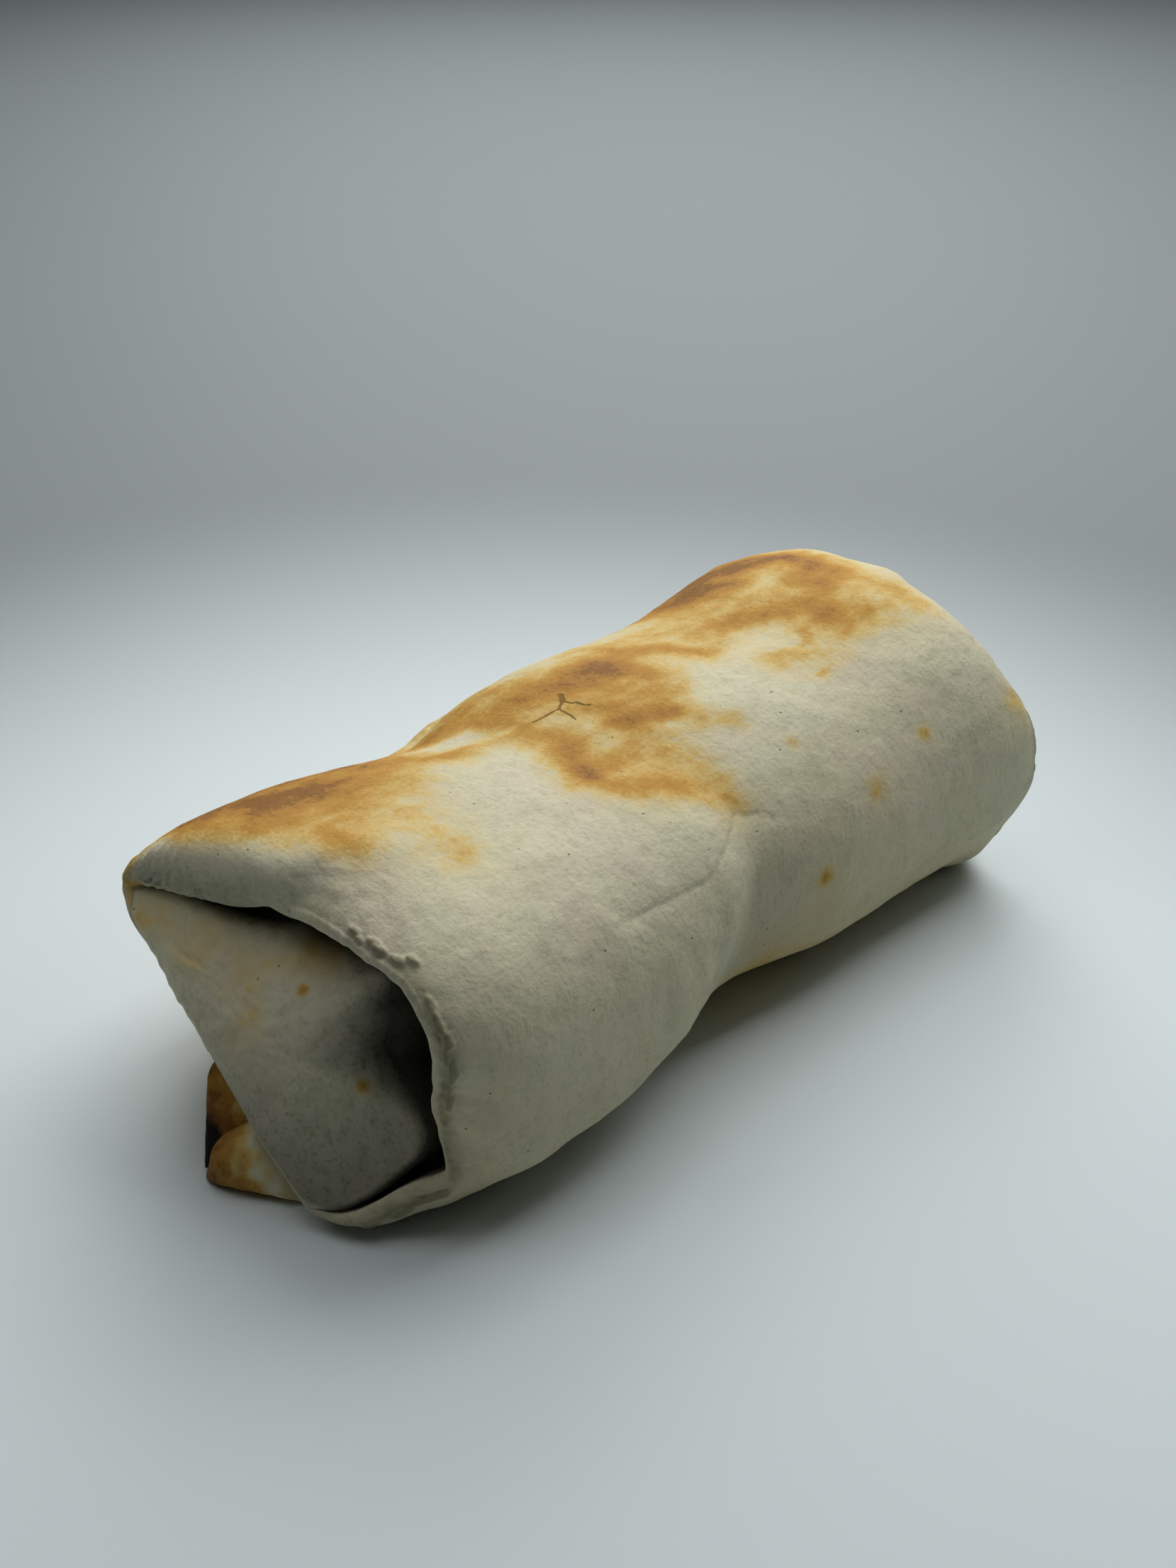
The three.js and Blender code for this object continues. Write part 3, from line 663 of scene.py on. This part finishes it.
# Soft spots of toast: (along, angle, half length, half width, turned by degrees, strength).
TOAST_SPOTS = [
    (-76, 142, 5, 9, 0, 0.5), (-77, 152, 6, 12, 0, -0.4), (41.3, 62.5, 1.3, 1.1, 0, 0.45),
    (51.7, 30, 1.1, 1.1, 0, 0.6), (35.5, 22.7, 1.5, 1.4, 0, 0.4), (24, 47, 1.1, 1.1, 0, 0.4),
    (20.4, 5.3, 1.2, 1.5, 0, 0.5), (77, 24, 3, 3, 0, 0.3), (56, 114, 5, 3, 0, -0.4),
    (-17, 127, 6, 2.5, 0, -0.25), (-20, 106, 8, 4, 0, -0.16), (7, 337, 8, 5, 0, 0.3),
    (30, 20, 22, 16, 0, 0.06), (-30, 10, 20, 22, 0, 0.04), (-62, 350, 8, 30, 0, 0.08),
    (-40, 200, 22, 14, 10, 0.8), (18, 196, 20, 10, -8, 0.75), (52, 160, 12, 10, 0, 0.7),
    (-8, 168, 10, 8, 0, 0.6), (-20, 262, 34, 12, 0, 0.7), (38, 268, 24, 14, 0, 0.7),
]
SMALL_SPOT = 2.0  # spots smaller than this keep their round shape
CORE_SHARE, HALO_SIZE = 0.6, 2.1  # how much of a spot is its core, and how much wider its halo is
TOAST_ON_TOAST = 0.75  # how far full toast keeps more from adding to it
HOOD_FACE, HOOD_FACE_TURNS = 112, 34  # the angle and half turns of the hood's pale face
# Soft spots on the flaps: (y, z, half width, half height, strength).
FLAP_SPOTS = [
    (25.8, 37.0, 5, 3.4, 0.26), (20.5, 36.4, 5, 3.4, 0.2), (14.9, 35.9, 5, 4, 0.28),
    (4.8, 34.7, 6, 5, 0.22), (0.7, 28.2, 4, 5.5, 0.2), (-4, 38.5, 7, 3.5, 0.32),
    (8, 32, 15, 9, 0.06), (20, 29, 6, 14, 0.05),
]
# Small dots on the near flap: (place, radius, strength).
FLAP_DOTS = [((-68.7, -4.9, 34.6), 1.1, 0.66), ((-67.6, -17.2, 22.1), 1.1, 0.7)]
SKIN_WISPS, FLAP_WISPS = 0.36, 0.8  # how strongly the toast breaks up into wisps
WARP_REACH = (1.65, 1.1, 1.1)  # how far its outlines stray, along, across and up

warp = np.stack([noise(points, size=8.0, seed=60 + axis) for axis in range(3)], -1)
warp += 0.25 * np.stack([noise(points, size=2.5, seed=70 + axis) for axis in range(3)], -1)
warped = points + warp * WARP_REACH
warped_turn = turn_of(warped)
wisp = 0.5 * noise(points * (0.35, 1, 1), size=2.4, seed=81)
wisp += 0.5 * noise(points * (0.5, 1, 1), size=6.0, seed=82)


def skin_at(x, angle):
    """The point of the skin nearest to a place along the roll and an angle."""
    off = np.hypot(points[:, 0] - x, np.radians(turn_apart(turn, angle)) * AXIS_HEIGHT)
    return points[np.where(is_skin, off, np.inf).argmin()]


def toasted_more(toast, away, strength):
    """The toast with a soft patch added, whose edge is where away is 1."""
    spot = strength * mix(bell(away, HALO_SIZE), bell(away, 1.0), CORE_SHARE)
    taken = TOAST_ON_TOAST * np.clip(toast, 0, 1) if strength > 0 else 0
    return toast + spot * (1 - taken)


def away_from_spot(x, angle, half_length, half_width, turned):
    """How far each point is from a spot's middle: 1 at the spot's edge."""
    place, place_turn = (points, turn) if half_length < SMALL_SPOT else (warped, warped_turn)
    radius = np.hypot(*(wall_point(x, angle)[1:] - (0, AXIS_HEIGHT)))
    along = place[:, 0] - x
    across = np.radians(turn_apart(place_turn, angle)) * radius
    c, s = np.cos(np.radians(turned)), np.sin(np.radians(turned))
    return np.hypot((along * c + across * s) / half_length, (across * c - along * s) / half_width)


def skin_toast():
    """The toast on the skin: strokes, spots and wisps, but for the hood's pale face."""
    toast = np.zeros(len(points))
    for places, half_width, strength in TOAST_STROKES:
        line = np.array([skin_at(x, angle) for x, angle in places])
        toast = toasted_more(toast, along_line(line, warped)[0] / half_width, strength)
    for *spot, strength in TOAST_SPOTS:
        toast = toasted_more(toast, away_from_spot(*spot), strength)
    toast += SKIN_WISPS * wisp * np.clip(toast * (1.2 - toast) * 2, 0, 1)
    inside = HOOD_FACE_TURNS - np.abs(turn_apart(column_turn, HOOD_FACE))
    below = 1 - ease(from_near_rim + 1.2 * warp[:, 0], 3.5, 14.0)
    return toast * (1 - ease(inside, 0, 8) * below)


def flap_toast():
    """The toast on the end flaps: soft spots, and small dots on the near one."""
    toast = np.zeros(len(points))
    for y, z, half_width, half_height, strength in FLAP_SPOTS:
        away = np.hypot((warped[:, 1] - y) / half_width, (warped[:, 2] - z) / half_height)
        toast = np.maximum(toast, strength * bell(away, 1))
    toast *= 1 + FLAP_WISPS * wisp
    for middle, radius, strength in FLAP_DOTS:
        dot = strength * bell(np.linalg.norm(points - middle, axis=1), radius)
        toast = np.maximum(toast, dot)
    return toast


toast = np.clip(np.where(is_skin, skin_toast(), np.where(is_flap, flap_toast(), 0)), 0, 1)


# ---- Meshes ----
def grid_faces():
    """The faces between the rows and columns, and the fans that close the two flaps."""
    def number(row, column):
        return row * COLUMNS + column % COLUMNS

    faces = [(number(i, j), number(i + 1, j), number(i + 1, j + 1), number(i, j + 1))
             for i, j in itertools.product(range(ROWS - 1), range(COLUMNS))]
    near, far = ROWS * COLUMNS, ROWS * COLUMNS + 1
    faces += [(near, number(0, j), number(0, j + 1)) for j in range(COLUMNS)]
    faces += [(far, number(ROWS - 1, j + 1), number(ROWS - 1, j)) for j in range(COLUMNS)]
    return faces


def new_object(name, data):
    made = bpy.data.objects.new(name, data)
    bpy.context.scene.collection.objects.link(made)
    return made


def new_piece(name, places, faces, fields, material):
    """A smooth mesh in the CAD's frame from points in millimetres, with named fields on it."""
    mesh = bpy.data.meshes.new(name)
    mesh.from_pydata(((places - centre) * MM).tolist(), [], faces)
    mesh.shade_smooth()
    for field_name, values in fields.items():
        layer = mesh.attributes.new(field_name, "FLOAT", "POINT")
        layer.data.foreach_set("value", np.asarray(values, np.float32))
    mesh.materials.append(material)
    piece = new_object(name, mesh)
    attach(piece, "root")
    return piece


# ---- Materials ----
MIX_SHARE, MIX_A, MIX_B, MIX_COLOUR = 0, 6, 7, 2  # sockets of a colour Mix node


def node(tree, kind, inputs=None, **settings):
    """A new shader node with its settings, and its inputs set or linked by name or number."""
    made = tree.nodes.new("ShaderNode" + kind)
    for name, value in settings.items():
        setattr(made, name, value)
    for key, value in (inputs or {}).items():
        if isinstance(value, bpy.types.NodeSocket):
            tree.links.new(value, made.inputs[key])
        else:
            made.inputs[key].default_value = value
    return made


def maths(tree, operation, a, b=0.0, clamp=False):
    return node(tree, "Math", {0: a, 1: b}, operation=operation, use_clamp=clamp).outputs[0]


def times(tree, a, b, clamp=False):
    return maths(tree, "MULTIPLY", a, b, clamp)


def plus(tree, a, b, clamp=False):
    return maths(tree, "ADD", a, b, clamp)


def vector(tree, operation, a, b, socket=0):
    """Vector maths, whose second input is a number where it scales. Socket 1 is a plain number."""
    second = "Scale" if operation == "SCALE" else 1
    return node(tree, "VectorMath", {0: a, second: b}, operation=operation).outputs[socket]


def spread(tree, value, low, high, to_low=0.0, to_high=1.0):
    """value from low to high, smoothly turned into to_low to to_high."""
    inputs = {"Value": value, "From Min": low, "From Max": high, "To Min": to_low, "To Max": to_high}
    return node(tree, "MapRange", inputs, interpolation_type="SMOOTHSTEP").outputs[0]


def grain(tree, place, size, detail=3.0, roughness=0.55, warp=0.0):
    """Noise from 0 to 1 with features of that size in millimetres."""
    inputs = {"Vector": place, "Scale": 1 / (size * MM), "Detail": detail, "Roughness": roughness,
              "Distortion": warp}
    return node(tree, "TexNoise", inputs).outputs[0]


def blend(tree, share, a, b):
    """Colour a with a share of colour b over it."""
    inputs = {MIX_SHARE: share, MIX_A: a, MIX_B: b}
    inputs = {key: (*value, 1) if isinstance(value, tuple) else value for key, value in inputs.items()}
    return node(tree, "Mix", inputs, data_type="RGBA").outputs[MIX_COLOUR]


def ramp(tree, value, stops):
    """A colour from a value, by (place, colour) stops."""
    made = node(tree, "ValToRGB", {0: value})
    elements = made.color_ramp.elements
    while len(elements) < len(stops):
        elements.new(0.5)
    for element, (place, colour) in zip(elements, stops):
        element.position = place
        element.color = (*colour, 1)
    return made.outputs[0]


def empty_material(name):
    material = bpy.data.materials.new(name)
    material.use_nodes = True
    material.node_tree.nodes.clear()
    return material, material.node_tree


def surface(tree, inputs):
    """Ends a material in a Principled surface with these inputs."""
    shader = node(tree, "BsdfPrincipled", inputs)
    node(tree, "OutputMaterial", {"Surface": shader.outputs[0]})


def field(tree, name):
    return node(tree, "Attribute", attribute_name=name).outputs["Fac"]


def crack(tree, place, start, end, width):
    """1 on the line from start to end, and 0 from its width beside it."""
    way = end - start
    off = vector(tree, "SUBTRACT", place, start)
    share = maths(tree, "DIVIDE", vector(tree, "DOT_PRODUCT", off, way, 1), way @ way, clamp=True)
    distance = vector(tree, "DISTANCE", off, vector(tree, "SCALE", way, share), 1)
    return spread(tree, maths(tree, "DIVIDE", distance, width), 0.45, 1.0, to_low=1.0, to_high=0.0)


# Cracks and short creases in the skin: (start, end) as (along, angle), and half width.
CRACKS = [
    ((1.5, 112), (0.2, 108.6), 0.36), ((0.2, 108.6), (2.4, 100), 0.19),
    ((0.2, 108.6), (-1.6, 107), 0.2), ((-1.6, 107), (-7.1, 108.6), 0.15),
    ((-1.6, 106.5), (-2.0, 98), 0.14), ((-7.7, 23), (-10.8, 18.4), 0.2),
]
CRACK_STRAY = 0.9  # how far a crack wanders in all

FLOUR, FLOUR_WARM, FLOUR_DARK = (0.71, 0.685, 0.51), (0.725, 0.66, 0.52), (0.40, 0.385, 0.26)
CREAM, YELLOW = (0.75, 0.65, 0.37), (0.69, 0.49, 0.18)
GOLD, TAN, BROWN = (0.56, 0.305, 0.06), (0.45, 0.215, 0.038), (0.27, 0.12, 0.022)
# The second colour is the crumb of the pits and the raw edge, darkened further to paint their shade.
FLECK, CRUMB_WITH_PAINTED_SHADE, CRACK = (0.16, 0.13, 0.085), (0.27, 0.25, 0.14), (0.21, 0.115, 0.012)
# CHAR is burnt crust; the other colour on the next line is the near black that painted shade darkens
# towards.
CHAR, PAINTED_SHADE_COLOUR = (0.012, 0.006, 0.003), (0.008, 0.006, 0.003)
TOAST_COLOURS = [(0.0, CREAM), (0.36, YELLOW), (0.62, GOLD), (0.86, TAN), (1.0, BROWN)]
# How strongly each colour covers what is under it.
FLECK_COVER, CRUMB_AND_SHADE_COVER, CRACK_COVER, PAINTED_SHADE_COVER = 0.7, 0.8, 0.85, 0.93
# Relief too fine for the mesh: (what it follows, strength, height in millimetres).
BUMPS = [("fine", 0.5, 0.26), ("fibre", 0.22, 0.4), ("soft", 0.45, 0.8), ("holes", 0.6, -0.3)]


def skin_grains(tree, place):
    """The grains that colours and bumps share. The fibres run round the roll."""
    round_the_roll = node(tree, "Mapping", {"Vector": place, "Scale": (1, 0.3, 0.3)}).outputs[0]
    return {
        "fine": grain(tree, place, size=0.8, detail=4, roughness=0.65),
        "fibre": grain(tree, round_the_roll, size=1.0, roughness=0.6, warp=0.4),
        "soft": grain(tree, place, size=3.5),
        "broad": grain(tree, place, size=14.0, detail=2),
    }


def pale_colour(tree, grains, painted_shade):
    """Flour-pale skin, mottled, with a warm tint here and there; the mottle is darker where shade is
    painted.
    """
    pale = blend(tree, spread(tree, grains["broad"], 0.45, 0.7), FLOUR, FLOUR_WARM)
    mottle = plus(tree, times(tree, grains["fine"], 0.65), times(tree, grains["fibre"], 0.35))
    # more of the dark mottle where shade is painted
    share = plus(tree, times(tree, painted_shade, 0.8), 0.36)
    share = times(tree, share, spread(tree, mottle, 0.52, 0.36), clamp=True)
    pale = blend(tree, share, pale, FLOUR_DARK)
    return blend(tree, spread(tree, grains["soft"], 0.52, 0.3, to_high=0.22), pale, FLOUR_DARK)


def fleck_pattern(tree, place):
    """1 on small dark flecks and pinholes, and 0 beside them."""
    cells = node(tree, "TexVoronoi", {"Vector": place, "Scale": 1 / (2.8 * MM)})
    picked = node(tree, "SeparateColor", {0: cells.outputs["Color"]}).outputs[0]
    spots = spread(tree, cells.outputs["Distance"], 0.1, 0.05)
    return times(tree, spots, spread(tree, picked, 0.82, 0.9))


def crack_pattern(tree, place):
    """1 on the cracks, which wander with the grain, and 0 beside them."""
    stray = times(tree, grain(tree, place, size=1.6, detail=2), CRACK_STRAY * MM)
    strayed = vector(tree, "ADD", place, vector(tree, "SCALE", (1, 1, 1), stray))
    cracks = None
    for start, end, half_width in CRACKS:
        start, end = [(wall_point(*p) - centre + CRACK_STRAY / 2) * MM for p in (start, end)]
        one = crack(tree, strayed, start, end, 2 * half_width * MM)
        cracks = one if cracks is None else maths(tree, "MAXIMUM", cracks, one)
    return cracks


def bumps(tree, heights):
    normal = None
    for name, strength, height in BUMPS:
        inputs = {"Height": heights[name], "Strength": strength, "Distance": height * MM}
        if normal is not None:
            inputs["Normal"] = normal
        normal = node(tree, "Bump", inputs).outputs[0]
    return normal


def tortilla_material():
    """The tortilla's colours and its painted shade, from the fields on its mesh and the grains in its
    material.
    """
    material, tree = empty_material("toasted_tortilla")
    place = node(tree, "TexCoord").outputs["Object"]
    grains = skin_grains(tree, place)
    flecks, cracks = fleck_pattern(tree, place), crack_pattern(tree, place)
    painted_shade, toasted = field(tree, "shade"), field(tree, "toast")

    # The toast's soft edge is broken up by the grain.
    grainy = maths(tree, "SUBTRACT", plus(tree, grains["fine"], grains["soft"]), 1.0)
    grainy = times(tree, grainy, 0.5)
    grainy_here = times(tree, grainy, spread(tree, toasted, 0.0, 0.3))
    toasted = plus(tree, toasted, grainy_here, clamp=True)
    colour = blend(tree, spread(tree, toasted, -0.08, 0.4),
                   pale_colour(tree, grains, painted_shade), ramp(tree, toasted, TOAST_COLOURS))
    burnt = plus(tree, field(tree, "char"), times(tree, grainy, 0.6))
    for share, over in (
        (times(tree, flecks, FLECK_COVER), FLECK),
        # crumb in the pits and along the raw edge, partly painted shade
        (times(tree, field(tree, "pit_crumb_and_shade"), CRUMB_AND_SHADE_COVER, clamp=True), CRUMB_WITH_PAINTED_SHADE),
        (times(tree, cracks, CRACK_COVER), CRACK),
        (spread(tree, burnt, 0.1, 0.35), BROWN),
        (spread(tree, burnt, 0.35, 0.75), CHAR),
        # painted shade: the shade field darkens the colour towards near black
        (times(tree, painted_shade, PAINTED_SHADE_COVER), PAINTED_SHADE_COLOUR),
    ):
        colour = blend(tree, share, colour, over)
    normal = bumps(tree, {**grains, "holes": maths(tree, "MAXIMUM", cracks, flecks)})
    rough = maths(tree, "SUBTRACT", 0.86, times(tree, toasted, 0.22))
    surface(tree, {"Base Color": colour, "Roughness": rough, "Normal": normal,
                   "Specular IOR Level": 0.16})
    return material


# ---- The roll and its folded corners ----
EAR_CRUMPLES = ((5.0, 0.4), (1.8, 0.35))  # (size, height)
EAR_CHARRED, FAR_EAR_CHARRED = {"inner": 1.1, "outer": 0.35}, 0.6
# How toasted the folded corners are, and how much shade is painted on them near their tips.
EAR_TOAST, EAR_PAINTED_SHADE = 0.7, 0.3

skin_material = tortilla_material()
fields = {"toast": toast, "char": 0 * toast, "pit_crumb_and_shade": pit_crumb_and_shade, "shade": shade}
fields = {name: np.append(values, [0, 0]) for name, values in fields.items()}
all_points = np.concatenate([points, [near_pole, far_pole]])
burrito = new_piece("burrito_skin", all_points, grid_faces(), fields, skin_material)
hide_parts("tortilla")


def pillow(corners, depth, bulge, flip):
    """A crumpled pillow between a patch, given by its corners, and the patch moved by its depth."""
    steps = 0.5 - 0.5 * np.cos(np.pi * np.arange(EAR_CELLS + 1) / EAR_CELLS)
    u, w = [value.ravel() for value in np.meshgrid(steps, steps, indexing="ij")]
    upper = mix(corners[0], corners[3], u[:, None])
    lower = mix(corners[1], corners[2], u[:, None])
    out = -unit(depth)
    patch = mix(upper, lower, w[:, None]) + out * (bulge * np.sin(np.pi * u) * np.sin(np.pi * w))[:, None]
    border = np.minimum(1, np.minimum.reduce([u, 1 - u, w, 1 - w]) / EAR_EDGE)
    rounding = 0.5 * (1 - np.sqrt(np.maximum(0, 1 - (1 - border) ** 2)))
    crumpled = layered(patch, EAR_CRUMPLES, seed=51)
    front = patch + depth * rounding[:, None] + out * (crumpled * border)[:, None]
    back = patch + depth * (1 - rounding)[:, None]
    places = np.concatenate([front, back])
    places[:, 2] = np.maximum(places[:, 2], 0)
    side = EAR_CELLS + 1
    faces = []
    for i, j in itertools.product(range(EAR_CELLS), repeat=2):
        quad = [i * side + j, i * side + j + 1, (i + 1) * side + j + 1, (i + 1) * side + j]
        if flip:
            quad.reverse()
        faces.append(quad)
        faces.append([number + side * side for number in reversed(quad)])
    return places, faces, np.concatenate([u, u]), np.concatenate([w, w])


def ear_fields(places, u, w, charred):
    """The toasting and painted shade of a folded corner, by the shares u along it from its tip and w down
    it.
    """
    burn = bell(u, 0.45) + 0.5 * noise(places, size=2.5, seed=53)
    toast = EAR_TOAST + 0.2 * bell(u, 0.25) - 0.6 * ease(u, 0.4, 1)
    toast += 0.35 * noise(places, size=2.4, seed=54)
    return {
        "toast": np.clip(toast, 0, 1),
        "char": charred * np.clip(burn, 0, 1) * ease(w, 0.05, 0.65),
        "pit_crumb_and_shade": 0 * u,
        "shade": EAR_PAINTED_SHADE * (1 - ease(u, 0.3, 0.9)),
    }


def weld(piece):
    """Joins the points that lie on each other."""
    work = bmesh.new()
    work.from_mesh(piece.data)
    bmesh.ops.remove_doubles(work, verts=work.verts, dist=0.01 * MM)
    work.to_mesh(piece.data)
    work.free()


def folded_corner(name, ear, charred, mirror):
    """One layer of the folded corner at the base of an end; the far end's is mirrored."""
    corners, depth = np.array(ear["corners"], float), np.array(ear["depth"], float)
    if mirror:
        corners[:, 0] = FAR_EAR_SHIFT - corners[:, 0]
        depth[0] = -depth[0]
    places, faces, u, w = pillow(corners, depth, ear["bulge"], mirror)
    weld(new_piece(name, places, faces, ear_fields(places, u, w, charred), skin_material))


for end_name, less_charred in (("near", 1.0), ("far", FAR_EAR_CHARRED)):
    for ear, (layer, charred) in zip(NEAR_EARS, EAR_CHARRED.items()):
        name = f"{end_name}_corner_{layer}"
        folded_corner(name, ear, charred * less_charred, mirror=end_name == "far")

# ---- Floor, light and camera ----
# A pool of light is painted on the floor: pale at its middle and darker further off.
PAINTED_POOL_MIDDLE, PAINTED_POOL_REACH = (-0.06, -0.04, 0.0), (0.12, 0.29)  # metres over which the floor darkens
FLOOR_IN_PAINTED_LIGHT, FLOOR_IN_PAINTED_SHADE = (0.74, 0.81, 0.83), (0.235, 0.26, 0.27)
FLOOR_SIZE = 6.0  # metres
WORLD_COLOUR, WORLD_STRENGTH = (0.86, 0.95, 1.0, 1), 0.012
LIGHT_DISTANCE, LIGHT_SIZE = 0.75, 0.45  # metres
# The soft boxes round the burrito: (name, azimuth, elevation, power in watts, colour).
LIGHTS = [
    ("key_side", 90, 55, 2.38, (0.98, 0.99, 0.98)),
    ("key_back", 135, 30, 2.12, (0.98, 0.99, 0.98)),
    ("back_high", 150, 57, 1.1, (0.98, 0.99, 1.0)),
    ("top", 0, 89, 0.66, (0.97, 0.99, 1.0)),
    ("fill_left", 225, 55, 0.55, (0.95, 0.98, 0.96)),
    ("fill_front", 45, 55, 0.16, (0.95, 0.98, 0.96)),
]


def floor_material():
    """A plain pale surface with a pool of light painted on it, darker away from the middle that the
    burrito lies in.
    """
    material, tree = empty_material("pale_floor_with_painted_pool")
    place = node(tree, "TexCoord").outputs["Object"]
    # the painted pool of light fades to painted shade with distance from its middle
    painted_falloff = spread(tree, vector(tree, "DISTANCE", place, PAINTED_POOL_MIDDLE, 1), *PAINTED_POOL_REACH)
    colour = ramp(tree, painted_falloff, [(0.0, FLOOR_IN_PAINTED_LIGHT), (1.0, FLOOR_IN_PAINTED_SHADE)])
    surface(tree, {"Base Color": colour, "Roughness": 0.6, "Specular IOR Level": 0.2})
    return material


floor_mesh = bpy.data.meshes.new("floor")
half = FLOOR_SIZE / 2
floor_corners = [(-half, -half, 0), (half, -half, 0), (half, half, 0), (-half, half, 0)]
floor_mesh.from_pydata(floor_corners, [], [(0, 1, 2, 3)])
floor_mesh.materials.append(floor_material())
floor = new_object("floor", floor_mesh)

world = bpy.data.worlds.new("studio")
bpy.context.scene.world = world
world.use_nodes = True
background = world.node_tree.nodes["Background"].inputs
background["Color"].default_value = WORLD_COLOUR
background["Strength"].default_value = WORLD_STRENGTH


def aim(thing, place, back):
    """Puts a light or camera at a place, looking the way opposite to back."""
    thing.location = place
    thing.rotation_mode = "QUATERNION"
    thing.rotation_quaternion = Vector(-back).to_track_quat("-Z", "Y")


def direction(azimuth, elevation):
    """The way from the burrito to an azimuth (0 in front, 90 at its far end) and elevation."""
    a, e = np.radians(azimuth), np.radians(elevation)
    return np.array([np.sin(a) * np.cos(e), -np.cos(a) * np.cos(e), np.sin(e)])


for name, azimuth, elevation, power, colour in LIGHTS:
    lamp = bpy.data.lights.new(name, "AREA")
    lamp.size, lamp.energy, lamp.color = LIGHT_SIZE, power, colour
    towards = direction(azimuth, elevation)
    aim(new_object(name, lamp), towards * LIGHT_DISTANCE, towards)

# The camera's azimuth and elevation in degrees, and in millimetres its distance and how high,
# how far to the right and how far up across its view the point is that it looks at.
VIEW_TURN, VIEW_TILT, VIEW_DISTANCE = -44.0, 32.5, 384.0
VIEW_MIDDLE, VIEW_ASIDE, VIEW_ABOVE = 25.0, -2.0, 12.4
FOCAL_LENGTH, SENSOR = 49.93, 36.0

back = direction(VIEW_TURN, VIEW_TILT)
right = np.array([np.cos(np.radians(VIEW_TURN)), np.sin(np.radians(VIEW_TURN)), 0])
eye = np.array([0, 0, VIEW_MIDDLE]) + back * VIEW_DISTANCE
eye += right * VIEW_ASIDE + np.cross(back, right) * VIEW_ABOVE
camera_data = bpy.data.cameras.new("camera")
camera_data.lens, camera_data.sensor_width = FOCAL_LENGTH, SENSOR
camera = new_object("camera", camera_data)
aim(camera, (eye - centre) * MM, back)
bpy.context.scene.camera = camera
bpy.context.scene.view_settings.view_transform = "Standard"
